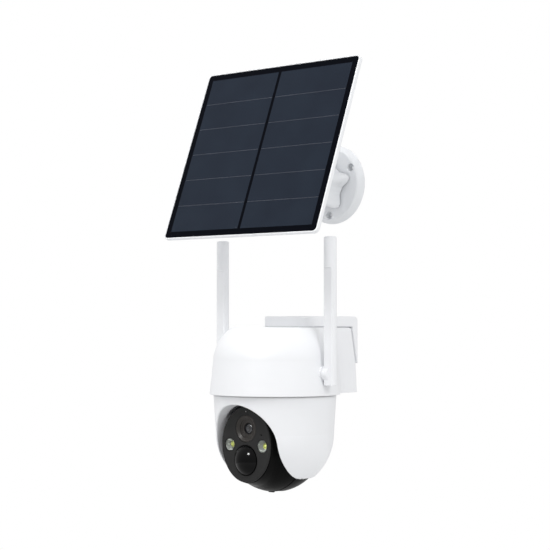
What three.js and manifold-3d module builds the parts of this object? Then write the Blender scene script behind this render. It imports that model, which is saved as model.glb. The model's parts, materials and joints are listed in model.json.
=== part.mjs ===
// Solar-powered security camera: a battery pan-and-tilt camera on a wall bracket, with two antennas, and a
// small solar panel on a ball-jointed wall base above it. Both units are fixed to one wall.
//
// Millimetres. The origin is on the wall, in the middle of the bracket's rear face. +Y points into the wall,
// the camera looks along -Y, and +Z is up. It pans about a vertical axis PAN_Y from the wall and tilts about a
// horizontal axis along X at TILT_Z.

import * as THREE from 'three';
import { mergeVertices } from 'three/addons/utils/BufferGeometryUtils.js';
import Module from 'manifold-3d';

const wasm = await Module();
wasm.setup();

// ---------------------------------------------------------------- driving dimensions

const GAP = 0.3;                 // clearance between touching pieces
const WALL = 2.2;                // thickness of the moulded shells

const PAN_Y = -80;               // pan axis, from the wall
const TILT_Z = -85.5;            // tilt axis

const CAP = { top: 12, bottom: -44.8, rim: 55.5, waist: 52.4, waistZ: -16.5, rise: 40 };
const BACK = { half: 27, slantTop: 8.5, slantFoot: 2, footZ: -19.5, corner: 2, blend: 15 };
const BRACKET = { half: 27, top: 21.4, front: -68, underside: 12.4, cornerR: 9, edgeR: 4 };

const LOCK = { y: -45, sunk: 1, tip: 4, head: 4, shank: 2 };
const WALL_HOLE = { x: 16, z: 4, r: 2.4, deep: 10 };

const FLOOR = { low: -43.4, high: -41.6, hole: 46, screwX: 20.5, screwY: -30, screwTip: -38 };
const PORT = { x: 13, y: -14, w: 9.4, d: 4.6, top: -36.3, mouth: 2.6, cornerR: 1.2 };
const COVER = { w: 14, d: 10, low: -44.6, thick: 0.9 };
const COVER_HINGE = { y: -19.5, z: -44.15, half: 5, r: 0.45 };
const BUTTON = { x: 0, y: -11, r: 2.6, low: -44.2, high: -40.4, lip: 1.2, lipThick: 0.7 };
const SPEAKER = { x: -13, y: -14, r: 9, magnet: 6, slits: 5, pitch: 2.4, slit: 1.2, slitHalf: 5 };
const CHASSIS = { low: -34.8, high: -32.8, r: 46.5, half: 23, rear: -7 };
const BEARING = { inner: 10.3, outer: 16, low: -32.5, high: -28 };
const PAN_MOTOR = { r: 11, low: -32.5, high: -20, earHalf: 16, ear: 3, earThick: 1 };
const CELL = { r: 9.2, half: 32.5, z: -16, ys: [-21.5, -2.5, 16.5], tip: 3, tipLong: 1.5 };
const TRAY = { half: 36, front: -30, rear: 25, low: -26.7, high: -20 };
const BOARD = { half: 33, front: -29, rear: 25, low: -5.5, high: -4 };

const HOUSING = { top: -46, rim: 52, ball: 50, ballZ: -77.1, lip: 0.8, lipR: 50.7, bossAt: 47, bossR: 3.1 };
const TURNTABLE = { r: 50.3, plate: 2, neck: 45, neckIn: 43, neckHigh: 6.3 };
const HOLLOW_SHAFT = { r: 10, bore: 7, high: 18 };
const SLOT = { half: 33.3, arch: 33.5, foot: 43, sphere: 43.3, wall: 1.5 };
const HEAD = { sphere: 41.5, half: 32, split: -8, wall: 2 };
const FACE = { front: -37.2, thick: 1.8, halfX: 26.6, halfZ: 31.3, root: -20, rootX: 31.9, rootZ: 36 };

const LID = { half: 9, front: -5.5, rear: 11, thick: 1.2 };
const LENS = { z: 13.3, r: 11.2 };
const LAMP = { x: 18, z: -0.5, r: 5.2 };
const SENSE = { z: -12.9, r: 12.6, rise: 6.2 };
const STATUS = { z: 27.6, r: 0.6 };
const MIC = { x: 17.3, z: 8.9, r: 0.65 };

const PAN_GEAR = { module: 1.5, teeth: 40, pinion: 12, z: -39.4, thick: 4 };
const TILT_GEAR = { module: 1, teeth: 36, pinion: 13, x: 35.3, thick: 2.5, away: 76 };
const TILT_MOTOR = { r: 8.5, from: 38.3, to: 45 };
const AXLE = { r: 4.5, flange: 8, bore: 2.5, from: 26.5, flangeTo: 29.7, to: 38.8, hole: 4.8 };

const ANTENNA = { x: 60.5, pivotZ: -26.3, r: 5.35, bottom: -36.1, top: 87.1, hub: 5.7 };
const ANTENNA_FLAT = { deep: 3.5, top: 61.6 };
const BOSS = { r: 6, from: 50.2, to: 54.5, bore: 2.3, pin: 2, pinHead: 4 };

const BASE = { z: 138.4, r: 35, faceR: 31.5, thick: 7, tube: 13.6, tubeTo: 34, ball: 38 };
const BASE_HOLE = { at: 27.4, r: 2.1, wide: 3.3, floor: 2.5, angles: [30, 150, 270] };
const KNOB = { from: 8, to: 41, tip: 24.5, valley: 16.5, noseR: 15, bore: 14 };
const LOBES = { count: 5, first: 11, sharp: 2 };
const BALL = { r: 11, neck: 4, seat: 12.2, padOuter: 11.9, padInner: 11.3 };

const PANEL = { lean: 68.8, face: 66, width: 171.4, height: 160, edge: 4.4, bezel: 1.5, corner: 4.5 };
const GLASS = 1.2;               // thickness of the panel's clear sheet
const CELLS = { rows: 6, side: 5.5, ends: 5, gap: 3, line: 0.5, thick: 0.2 };
const HUB = { low: 45.8, wide: 30, narrow: 13, bore: 3.5 };
const LEAD_BOX = { w: 34, h: 18, cornerR: 3, y: -46, deep: 9, bore: 2.6, below: 4.8 };
const GLAND = { r: 4, tip: 2.6, stem: 2.3, bore: 1.5 };

const rad = THREE.MathUtils.degToRad;

// ---------------------------------------------------------------- materials

function finish(color, roughness, metalness = 0) {
  return new THREE.MeshStandardMaterial({ color, roughness, metalness });
}

const whiteShell = finish(0xf1f2f4, 0.38);
const greyWhite = finish(0xe4e6e8, 0.5);
const blackShell = finish(0x141516, 0.4);
const charcoal = finish(0x37383a, 0.6);
const blackGloss = finish(0x060607, 0.08);
const darkRubber = finish(0x2b2c2e, 0.85);
const steel = finish(0xb4b6b9, 0.3, 1);
const brass = finish(0xc0a062, 0.35, 1);
const chrome = finish(0xd6d8da, 0.12, 1);
const clearLens = finish(0xe8ecec, 0.05);
const boardGreen = finish(0x1d5a3a, 0.6);
const gearWhite = finish(0xe9e6da, 0.5);
const cellBlue = finish(0x2a2f38, 0.3);
const glassDark = finish(0x10131a, 0.06);
const cellWrap = finish(0x3f7f8f, 0.45);

// ---------------------------------------------------------------- geometry helpers

// A closed geometry as a manifold-3d solid.
function solid(geometry) {
  const bare = geometry.clone();
  bare.deleteAttribute('normal');
  bare.deleteAttribute('uv');
  const merged = mergeVertices(bare, 1e-4);
  return new wasm.Manifold(new wasm.Mesh({
    numProp: 3,
    vertProperties: new Float32Array(merged.attributes.position.array),
    triVerts: new Uint32Array(merged.index.array),
  }));
}

// A manifold-3d solid as a geometry.
function skin(body) {
  const mesh = body.getMesh();
  const geometry = new THREE.BufferGeometry();
  geometry.setAttribute('position', new THREE.BufferAttribute(new Float32Array(mesh.vertProperties), 3));
  geometry.setIndex(new THREE.BufferAttribute(new Uint32Array(mesh.triVerts), 1));
  geometry.computeVertexNormals();
  return geometry;
}

function join(first, ...others) {
  return others.reduce((whole, other) => whole.add(other), first);
}

function cut(first, ...others) {
  return others.reduce((whole, other) => whole.subtract(other), first);
}

// A box between two corners.
function box(low, high) {
  const [w, d, h] = high.map((value, i) => value - low[i]);
  return solid(new THREE.BoxGeometry(w, d, h).translate(low[0] + w / 2, low[1] + d / 2, low[2] + h / 2));
}

// A round bar, or a cone where two radii are given, between two points.
function bar(from, to, r, endR = r, sides = 20) {
  const start = new THREE.Vector3(...from);
  const along = new THREE.Vector3(...to).sub(start);
  const up = new THREE.Vector3(0, 1, 0);
  const turn = new THREE.Quaternion().setFromUnitVectors(up, along.clone().normalize());
  const geometry = new THREE.CylinderGeometry(endR, r, along.length(), sides);
  return solid(geometry.applyQuaternion(turn).translate(...start.addScaledVector(along, 0.5).toArray()));
}

const AXES = {
  x: [[0, 1, 0], [0, 0, 1], [1, 0, 0]],
  y: [[1, 0, 0], [0, 0, 1], [0, -1, 0]],
  z: [[1, 0, 0], [0, 1, 0], [0, 0, 1]],
};

// Turns a geometry made in the XY plane along Z so that it runs along an axis. Along x a drawing's axes are Y
// and Z, along y they are X and Z (and its height runs towards -Y), and along z they are X and Y.
function facing(axis, geometry) {
  const columns = AXES[axis].map((v) => new THREE.Vector3(...v));
  return geometry.applyMatrix4(new THREE.Matrix4().makeBasis(...columns));
}

// A body of revolution from [radius, height] points, standing along an axis as facing() says.
function turned(axis, profile, at, segments = 32) {
  const points = profile.map(([r, h]) => new THREE.Vector2(r, h));
  const upright = new THREE.LatheGeometry(points, segments).rotateX(Math.PI / 2);
  return solid(facing(axis, upright).translate(...at));
}

// An outline extruded along an axis, as facing() says, starting from a distance along it.
function prism(axis, shape, start, length, curveSegments = 12) {
  const geometry = new THREE.ExtrudeGeometry(shape, { depth: length, bevelEnabled: false, curveSegments });
  return solid(facing(axis, geometry.translate(0, 0, start)));
}

// A closed body through rings of points, each ring turning anticlockwise as seen from the last ring's side.
function loft(rings) {
  const count = rings[0].length;
  const points = rings.flat();
  const faces = [];
  for (let i = 0; i + 1 < rings.length; i += 1) {
    for (let k = 0; k < count; k += 1) {
      const a = i * count + k;
      const b = i * count + (k + 1) % count;
      faces.push(a, b, b + count, a, b + count, a + count);
    }
  }
  const last = (rings.length - 1) * count;
  const middle = (ring) => ring.reduce((sum, p) => sum.add(p), new THREE.Vector3()).divideScalar(count);
  points.push(middle(rings[0]), middle(rings[rings.length - 1]));
  for (let k = 0; k < count; k += 1) {
    const next = (k + 1) % count;
    faces.push(points.length - 2, next, k, points.length - 1, last + k, last + next);
  }
  const geometry = new THREE.BufferGeometry().setFromPoints(points);
  geometry.setIndex(faces);
  return solid(geometry);
}

function polygon(points) {
  return new THREE.Shape(points.map(([x, y]) => new THREE.Vector2(x, y)));
}

// A rectangle with round corners, centred on a point.
function roundedRect(width, height, r, cx = 0, cy = 0) {
  const x = cx - width / 2;
  const y = cy - height / 2;
  const shape = new THREE.Shape();
  shape.moveTo(x + r, y);
  shape.lineTo(x + width - r, y);
  shape.absarc(x + width - r, y + r, r, -Math.PI / 2, 0);
  shape.lineTo(x + width, y + height - r);
  shape.absarc(x + width - r, y + height - r, r, 0, Math.PI / 2);
  shape.lineTo(x + r, y + height);
  shape.absarc(x + r, y + height - r, r, Math.PI / 2, Math.PI);
  shape.lineTo(x, y + r);
  shape.absarc(x + r, y + r, r, Math.PI, Math.PI * 1.5);
  return shape;
}

// Evenly spaced angles round a full turn.
function turnAngles(count) {
  return Array.from({ length: count }, (_, i) => (i * 2 * Math.PI) / count);
}

const camera = new THREE.Group();

function piece(name, body, material, parent = camera) {
  const mesh = new THREE.Mesh(skin(body), material);
  mesh.name = name;
  parent.add(mesh);
}

const SCREW = { headR: 2.4, shankR: 1.2 };
const LOCK_SCREW = { headR: LOCK.head, shankR: LOCK.shank };

// A countersunk screw: head flat at one point, shank ending at the other.
function screw(name, head, tip, parent = camera, { headR, shankR } = SCREW) {
  const start = new THREE.Vector3(...head);
  const along = new THREE.Vector3(...tip).sub(start).normalize();
  const neck = start.clone().addScaledVector(along, headR - shankR).toArray();
  const drive = bar(head, start.clone().addScaledVector(along, 0.8).toArray(), 0.9, 0.9, 6);
  const cone = bar(head, neck, headR, shankR, 12);
  const inCone = start.clone().addScaledVector(along, (headR - shankR) / 2).toArray();
  const shank = bar(inCone, tip, shankR, shankR, 12);
  piece(name, cut(join(cone, shank), drive), steel, parent);
}

// The hole that a countersunk screw of the same size sits in.
function screwHole(head, tip, { headR, shankR } = SCREW) {
  const start = new THREE.Vector3(...head);
  const along = new THREE.Vector3(...tip).sub(start).normalize();
  const mouth = start.clone().addScaledVector(along, -GAP).toArray();
  const neck = start.clone().addScaledVector(along, headR - shankR + GAP).toArray();
  const end = new THREE.Vector3(...tip).addScaledVector(along, GAP).toArray();
  const cone = bar(mouth, neck, headR + 2 * GAP, shankR + GAP, 12);
  return join(cone, bar(mouth, end, shankR + GAP, shankR + GAP, 12));
}

// ---------------------------------------------------------------- gears

// Outline of an involute spur gear with stub teeth, centred on the origin. A tooth points at angle phase.
function gearOutline(module, teeth, phase) {
  const pitch = (module * teeth) / 2;
  const base = pitch * Math.cos(rad(20));
  const root = pitch - 0.95 * module;
  const tip = pitch + 0.72 * module;
  const backlash = 0.1 * module;
  const roll = (r) => Math.sqrt(Math.max(0, (r / base) ** 2 - 1));
  const spread = (r) => roll(r) - Math.atan(roll(r));
  const halfAt = (r) => (Math.PI * module / 2 - backlash) / (2 * pitch) + spread(pitch) - spread(r);
  const rising = [root, Math.max(base, root), pitch, tip];
  const radii = rising.filter((r, i) => i === 0 || r > rising[i - 1] + 0.01);
  const flank = (centre, side) => radii.map((r) => {
    const angle = centre + side * halfAt(r);
    return [r * Math.cos(angle), r * Math.sin(angle)];
  });
  const points = [];
  for (let tooth = 0; tooth < teeth; tooth += 1) {
    const centre = phase + (tooth * 2 * Math.PI) / teeth;
    points.push(...flank(centre, -1), ...flank(centre, 1).reverse());
  }
  return polygon(points);
}

// A pinion's phase so that its tooth gap meets the wheel tooth that points at it along angle line.
function meshPhase(line, pinionTeeth) {
  return line + Math.PI + Math.PI / pinionTeeth;
}

// ---------------------------------------------------------------- wall bracket

// The L-shaped bracket: a shelf over the camera and a wedge-shaped plate down the wall behind it.
function bracketBody() {
  const side = new THREE.Shape();
  side.moveTo(0, BACK.footZ);
  side.lineTo(0, BRACKET.top - BRACKET.edgeR);
  side.absarc(-BRACKET.edgeR, BRACKET.top - BRACKET.edgeR, BRACKET.edgeR, 0, Math.PI / 2);
  side.lineTo(BRACKET.front, BRACKET.top);
  side.lineTo(BRACKET.front, BRACKET.underside);
  side.lineTo(-BACK.slantTop + GAP, BRACKET.underside);
  side.lineTo(-BACK.slantFoot + GAP, BACK.footZ);
  const profile = prism('x', side, -BRACKET.half, 2 * BRACKET.half, 5);
  const plan = new THREE.Shape();
  const cornerX = BRACKET.half - BRACKET.cornerR;
  const cornerY = BRACKET.front + BRACKET.cornerR;
  plan.moveTo(-BRACKET.half, 1);
  plan.lineTo(-BRACKET.half, cornerY);
  plan.absarc(-cornerX, cornerY, BRACKET.cornerR, Math.PI, Math.PI * 1.5);
  plan.absarc(cornerX, cornerY, BRACKET.cornerR, Math.PI * 1.5, Math.PI * 2);
  plan.lineTo(BRACKET.half, 1);
  return profile.intersect(prism('z', plan, -30, 60, 6));
}

const sides = [-1, 1];
const lockHead = [0, LOCK.y, BRACKET.top - LOCK.sunk];
const lockTip = [0, LOCK.y, LOCK.tip];
const lockHole = screwHole(lockHead, lockTip, LOCK_SCREW);
const wallHoles = sides.map((side) => {
  const x = side * WALL_HOLE.x;
  return bar([x, 1, WALL_HOLE.z], [x, -WALL_HOLE.deep, WALL_HOLE.z], WALL_HOLE.r);
});
piece('wall_bracket', cut(bracketBody(), ...wallHoles, lockHole), whiteShell);
screw('bracket_lock_screw', lockHead, lockTip, camera, LOCK_SCREW);

// ---------------------------------------------------------------- cap, the fixed upper housing

// Radius of the dome at a height.
function domeRadius(z) {
  if (z > CAP.waistZ) return CAP.waist * Math.sqrt(1 - ((z - CAP.waistZ) / CAP.rise) ** 2);
  return CAP.waist + ((CAP.rim - CAP.waist) * (CAP.waistZ - z)) / (CAP.waistZ - CAP.bottom);
}

// Distance of the slanted rear face from the wall at a height.
function backSlant(z) {
  if (z < BACK.footZ) return (BACK.slantFoot * (z - CAP.bottom)) / (BACK.footZ - CAP.bottom);
  return BACK.slantFoot + ((BACK.slantTop - BACK.slantFoot) * (z - BACK.footZ)) / (CAP.top - BACK.footZ);
}

// Signed distance in plan from the cap's outline at a height: a disc and a rear block, blended together.
function capDistance(x, y, z, inset) {
  const disc = Math.hypot(x, y - PAN_Y) - domeRadius(z) + inset;
  const dx = Math.abs(x) - BACK.half + inset + BACK.corner;
  const dy = Math.max(y + backSlant(z) + inset + BACK.corner, PAN_Y - y);
  const block = Math.min(Math.max(dx, dy), 0) + Math.hypot(Math.max(dx, 0), Math.max(dy, 0)) - BACK.corner;
  const h = THREE.MathUtils.clamp(0.5 + (block - disc) / (2 * BACK.blend), 0, 1);
  return block + (disc - block) * h - BACK.blend * h * (1 - h);
}

// The cap's outline at a height as a ring of points, found along rays from the pan axis. The rays are closer
// together at the rear block's corners.
const cornerAngles = [69, 70.5, 71.5, 73, 107, 108.5, 109.5, 111].map(rad);
const capAngles = [...turnAngles(44), ...cornerAngles].sort((a, b) => a - b);
function capRing(z, inset, outlineZ = z) {
  return capAngles.map((angle) => {
    let inner = 0;
    let outer = 120;
    for (let i = 0; i < 30; i += 1) {
      const r = (inner + outer) / 2;
      if (capDistance(r * Math.cos(angle), PAN_Y + r * Math.sin(angle), outlineZ, inset) < 0) inner = r;
      else outer = r;
    }
    return new THREE.Vector3(inner * Math.cos(angle), PAN_Y + inner * Math.sin(angle), z);
  });
}

function capSolid(inset, bottom, top) {
  const heights = [CAP.waistZ, -5, 4].filter((z) => z < top - 1);
  return loft([bottom, ...heights, top].map((z) => capRing(z, inset, Math.max(z, CAP.bottom))));
}

const antennaAt = (side, x) => [side * x, PAN_Y, ANTENNA.pivotZ];
const capWall = cut(capSolid(0, CAP.bottom, CAP.top), capSolid(WALL, CAP.bottom - 1, CAP.top - WALL));
const antennaBosses = sides.map((side) => bar(antennaAt(side, BOSS.from), antennaAt(side, BOSS.to), BOSS.r));
const antennaBores = sides.map((side) => (
  bar(antennaAt(side, 45), antennaAt(side, 58), BOSS.bore, BOSS.bore, 16)
));
piece('top_cap', cut(join(capWall, ...antennaBosses), ...antennaBores, lockHole), whiteShell);

// The plate that closes the cap from below, round the turning neck. It has openings for the port, the button
// and the speaker.
const under = FLOOR.low - 1;
const over = FLOOR.high + 1;

// A block centred on a point in plan, between two heights.
function block({ x, y }, halfX, halfY, low, high) {
  return box([x - halfX, y - halfY, low], [x + halfX, y + halfY, high]);
}

const floorScrews = sides.map((side) => {
  const at = (z) => [side * FLOOR.screwX, FLOOR.screwY, z];
  return [at(FLOOR.low), at(FLOOR.screwTip)];
});
const grille = Array.from({ length: SPEAKER.slits }, (_, row) => {
  const y = SPEAKER.y + (row - (SPEAKER.slits - 1) / 2) * SPEAKER.pitch;
  return block({ x: SPEAKER.x, y }, SPEAKER.slitHalf, SPEAKER.slit / 2, under, over);
});
const floorPlate = loft([FLOOR.low, FLOOR.high].map((z) => capRing(z, WALL + 2 * GAP, FLOOR.high)));
piece('cap_floor', cut(
  floorPlate,
  bar([0, PAN_Y, under], [0, PAN_Y, over], FLOOR.hole, FLOOR.hole, 40),
  block(PORT, PORT.w / 2 + GAP, PORT.d / 2 + GAP, under, over),
  bar([BUTTON.x, BUTTON.y, under], [BUTTON.x, BUTTON.y, over], BUTTON.r + GAP),
  ...floorScrews.map(([head, tip]) => screwHole(head, tip)),
  ...grille,
), greyWhite);
floorScrews.forEach(([head, tip], i) => screw(`cap_screw_${i + 1}`, head, tip));

// ---------------------------------------------------------------- inside the cap

const pinionY = PAN_Y + (PAN_GEAR.module * (PAN_GEAR.teeth + PAN_GEAR.pinion)) / 2;
const chassisPlate = join(
  bar([0, PAN_Y, CHASSIS.low], [0, PAN_Y, CHASSIS.high], CHASSIS.r, CHASSIS.r, 32),
  box([-CHASSIS.half, PAN_Y + 30, CHASSIS.low], [CHASSIS.half, CHASSIS.rear, CHASSIS.high]),
);
piece('chassis_plate', cut(
  chassisPlate,
  bar([0, PAN_Y, -40], [0, PAN_Y, -30], BEARING.inner + 0.1, BEARING.inner + 0.1, 32),
  bar([0, pinionY, -40], [0, pinionY, -30], 2.2, 2.2, 16),
), steel);

piece('pan_bearing', turned('z', [
  [BEARING.inner, BEARING.low], [BEARING.outer, BEARING.low], [BEARING.outer, BEARING.high],
  [BEARING.inner, BEARING.high], [BEARING.inner, BEARING.low],
], [0, PAN_Y, 0]), steel);
const earTop = PAN_MOTOR.low + PAN_MOTOR.earThick;
piece('pan_motor', join(
  bar([0, pinionY, PAN_MOTOR.low], [0, pinionY, PAN_MOTOR.high], PAN_MOTOR.r, PAN_MOTOR.r, 32),
  block({ x: 0, y: pinionY }, PAN_MOTOR.earHalf, PAN_MOTOR.ear, PAN_MOTOR.low, earTop),
), steel);

// A bar across the cap at one cell's place.
function cellBar(y, from, to, r, segments) {
  return bar([from, PAN_Y + y, CELL.z], [to, PAN_Y + y, CELL.z], r, r, segments);
}
piece('battery_tray', cut(
  box([-TRAY.half, PAN_Y + TRAY.front, TRAY.low], [TRAY.half, PAN_Y + TRAY.rear, TRAY.high]),
  ...CELL.ys.map((y) => cellBar(y, -CELL.half - 1, CELL.half + 1, CELL.r + GAP, 24)),
), blackShell);
['front', 'middle', 'rear'].forEach((place, i) => {
  const y = CELL.ys[i];
  const body = cellBar(y, -CELL.half, CELL.half - CELL.tipLong, CELL.r, 24);
  const tip = cellBar(y, CELL.half - CELL.tipLong - 0.5, CELL.half, CELL.tip, 16);
  piece(`battery_cell_${place}`, join(body, tip), cellWrap);
});
piece('main_board', join(
  box([-BOARD.half, PAN_Y + BOARD.front, BOARD.low], [BOARD.half, PAN_Y + BOARD.rear, BOARD.high]),
  box([-20, PAN_Y - 20, BOARD.high - 0.2], [-2, PAN_Y - 2, BOARD.high + 3]),
  box([4, PAN_Y - 18, BOARD.high - 0.2], [20, PAN_Y + 2, BOARD.high + 1.6]),
), boardGreen);
const speakerAt = (z) => [SPEAKER.x, SPEAKER.y, FLOOR.high + z];
piece('speaker', join(
  bar(speakerAt(GAP), speakerAt(2.5), SPEAKER.r, SPEAKER.r, 28),
  bar(speakerAt(2), speakerAt(5), SPEAKER.magnet, SPEAKER.magnet, 28),
), blackShell);
piece('charging_port', cut(
  block(PORT, PORT.w / 2, PORT.d / 2, FLOOR.low + GAP, PORT.top),
  prism('z', roundedRect(PORT.w - 1.2, PORT.mouth, PORT.cornerR, PORT.x, PORT.y), under, 6, 4),
), steel);
const hingeAt = (side, dy, dz) => [PORT.x + side * COVER_HINGE.half, COVER_HINGE.y + dy, COVER_HINGE.z + dz];
piece('charging_cover', join(
  prism('z', roundedRect(COVER.w, COVER.d, 2, PORT.x, PORT.y), COVER.low, COVER.thick, 4),
  bar(hingeAt(-1, 0, 0), hingeAt(1, 0, 0), COVER_HINGE.r, COVER_HINGE.r, 12),
  box(hingeAt(-1, 0, -0.4), hingeAt(1, 2, 0.4)),
), darkRubber);
const buttonAt = (z) => [BUTTON.x, BUTTON.y, z];
piece('power_button', join(
  bar(buttonAt(BUTTON.low), buttonAt(BUTTON.high), BUTTON.r),
  bar(buttonAt(BUTTON.high - BUTTON.lipThick), buttonAt(BUTTON.high), BUTTON.r + BUTTON.lip),
), darkRubber);

// ---------------------------------------------------------------- antennas

// A rod with a flat down its front and a round hub beside it, which turns on a pin in the cap's boss.
function antenna(side) {
  const { x, r, bottom, top, hub } = ANTENNA;
  const { deep, top: flatTop } = ANTENNA_FLAT;
  const profile = [[0, bottom], [r, bottom], [r, top - 1.7], [r - 0.5, top - 0.5], [r - 1.7, top], [0, top]];
  const rod = turned('z', profile, [side * x, PAN_Y, 0], 24);
  const relief = polygon([
    [-r - 1, bottom - 1], [-deep, bottom - 1], [-deep, flatTop - 0.4], [-r - 1, flatTop + 0.6],
  ]);
  const front = solid(skin(prism('x', relief, -8, 16)).translate(side * x, PAN_Y, 0));
  const knuckle = bar(antennaAt(side, BOSS.to + GAP), antennaAt(side, x - 1), hub);
  const bore = bar(antennaAt(side, BOSS.to - 0.5), antennaAt(side, x - 0.9), BOSS.bore, BOSS.bore, 16);
  return cut(join(cut(rod, front), knuckle), bore);
}
for (const [name, side] of [['left', -1], ['right', 1]]) {
  piece(`antenna_${name}`, antenna(side), whiteShell);
  const shank = bar(antennaAt(side, 48.6), antennaAt(side, 59.3), BOSS.pin, BOSS.pin, 16);
  const head = bar(antennaAt(side, 48), antennaAt(side, 49.8), BOSS.pinHead, BOSS.pinHead, 16);
  piece(`antenna_pin_${name}`, join(shank, head), steel);
}

// ---------------------------------------------------------------- pan housing

// Everything from here to the head is drawn from the point where the pan and tilt axes cross.
const pivot = new THREE.Group();
pivot.position.set(0, PAN_Y, TILT_Z);
camera.add(pivot);

// The housing's outer profile: a slight taper ending in half a ball. Heights are from the tilt axis.
const topZ = HOUSING.top - TILT_Z;
const ballZ = HOUSING.ballZ - TILT_Z;
function bullet(inset, top) {
  const r = HOUSING.ball - inset;
  const profile = [[0, ballZ - r]];
  for (let a = -75; a <= 0; a += 15) {
    profile.push([r * Math.cos(rad(a)), ballZ + r * Math.sin(rad(a))]);
  }
  profile.push([HOUSING.rim - inset, topZ]);
  if (top > topZ) profile.push([HOUSING.rim - inset, top]);
  profile.push([0, top]);
  return turned('z', profile, [0, 0, 0], 36);
}

// Front view of the slot that the head looks out of: half an ellipse above, a squarer curve below.
function slotOutline(extra) {
  const points = [];
  const half = SLOT.half + extra;
  for (let a = 0; a <= 180; a += 15) {
    points.push([half * Math.cos(rad(a)), (SLOT.arch + extra) * Math.sin(rad(a))]);
  }
  for (let a = 195; a < 360; a += 15) {
    const c = Math.cos(rad(a));
    const s = Math.sin(rad(a));
    const depth = (SLOT.foot + extra) * Math.sqrt(Math.abs(s));
    points.push([half * Math.sign(c) * Math.sqrt(Math.abs(c)), -depth]);
  }
  return polygon(points);
}

// The space that the head needs: the slot, the ball's room between the cheeks, and the face's swing above.
function headRoom(extra) {
  const tunnel = prism('y', slotOutline(extra), -2, 72);
  const profile = [[0, -SLOT.half - extra]];
  const sphere = SLOT.sphere + extra;
  for (let i = 0; i <= 6; i += 1) {
    const x = (SLOT.half + extra) * (i / 3 - 1);
    profile.push([Math.sqrt(sphere ** 2 - x ** 2), x]);
  }
  profile.push([0, SLOT.half + extra]);
  const room = turned('x', profile, [0, 0, 0], 32);
  const foot = box([-21, -1, -50], [21, 21, -30]);
  const swing = [[0, -FACE.halfX]];
  for (let i = 0; i <= 6; i += 1) {
    const x = FACE.halfX * (i / 3 - 1);
    const z = FACE.halfZ * Math.sqrt(1 - (x / FACE.halfX) ** 2);
    swing.push([Math.hypot(FACE.front, z) + 0.8 + extra, x]);
  }
  swing.push([0, FACE.halfX]);
  const above = turned('x', swing, [0, 0, 0], 36).intersect(box([-40, -70, 0], [40, 1, 60]));
  return join(tunnel, room, above, foot);
}

const bossAngles = [90, 210, 330].map(rad);
const bossAt = (angle, z) => [HOUSING.bossAt * Math.cos(angle), HOUSING.bossAt * Math.sin(angle), z];
const shellWall = cut(
  bullet(0, topZ + HOUSING.lip),
  bullet(WALL, topZ + 5),
  bar([0, 0, topZ], [0, 0, topZ + 5], HOUSING.lipR, HOUSING.lipR, 36),
);
const liner = headRoom(SLOT.wall).intersect(bullet(WALL - 0.5, topZ));
const bosses = bossAngles.map((angle) => {
  const post = bar(bossAt(angle, topZ - 12), bossAt(angle, topZ), HOUSING.bossR, HOUSING.bossR, 12);
  return post.intersect(bullet(0.5, topZ));
});
const axleHoles = bar([-36, 0, 0], [36, 0, 0], AXLE.r + 0.4, AXLE.r + 0.4, 24);
const turntableScrews = bossAngles.map((angle) => [
  bossAt(angle, topZ + GAP + TURNTABLE.plate), bossAt(angle, topZ - 8),
]);
const turntableHoles = turntableScrews.map(([head, tip]) => screwHole(head, tip));
const housing = cut(join(shellWall, liner, ...bosses), headRoom(0), axleHoles, ...turntableHoles);
piece('pan_housing', housing, whiteShell, pivot);

// The turntable closes the housing from above and turns in the cap on its hollow shaft.
const plateLow = topZ + GAP;
const plateHigh = plateLow + TURNTABLE.plate;
const neckHigh = topZ + TURNTABLE.neckHigh;
const neckFloor = neckHigh - TURNTABLE.plate;
const shaftHigh = topZ + HOLLOW_SHAFT.high;
const turntable = turned('z', [
  [TURNTABLE.neckIn, plateLow], [TURNTABLE.r, plateLow], [TURNTABLE.r, plateHigh],
  [TURNTABLE.neck, plateHigh], [TURNTABLE.neck, neckHigh], [HOLLOW_SHAFT.r, neckHigh],
  [HOLLOW_SHAFT.r, shaftHigh], [HOLLOW_SHAFT.bore, shaftHigh], [HOLLOW_SHAFT.bore, neckFloor],
  [TURNTABLE.neckIn, neckFloor], [TURNTABLE.neckIn, plateLow],
], [0, 0, 0]);
piece('turntable', cut(turntable, ...turntableHoles), gearWhite, pivot);
turntableScrews.forEach(([head, tip], i) => screw(`turntable_screw_${i + 1}`, head, tip, pivot));

const panWheelShape = gearOutline(PAN_GEAR.module, PAN_GEAR.teeth, Math.PI / 2);
const panWheel = prism('z', panWheelShape, PAN_GEAR.z, PAN_GEAR.thick);
const panHole = bar([0, 0, PAN_GEAR.z - 1], [0, 0, PAN_GEAR.z + 6], BEARING.inner, BEARING.inner, 24);
const panGear = skin(cut(panWheel, panHole)).translate(0, PAN_Y, 0);
piece('pan_gear', solid(panGear), gearWhite);
const panPinionPhase = meshPhase(Math.PI / 2, PAN_GEAR.pinion);
const panPinionShape = gearOutline(PAN_GEAR.module, PAN_GEAR.pinion, panPinionPhase);
const panPinionBody = join(
  prism('z', panPinionShape, PAN_GEAR.z + 0.2, PAN_GEAR.thick - 0.4),
  bar([0, 0, PAN_GEAR.z + 2], [0, 0, CHASSIS.high - GAP], 1.5, 1.5, 16),
);
piece('pan_pinion', solid(skin(panPinionBody).translate(0, pinionY, 0)), brass);

// ---------------------------------------------------------------- tilt drive, in the right cheek

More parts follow.
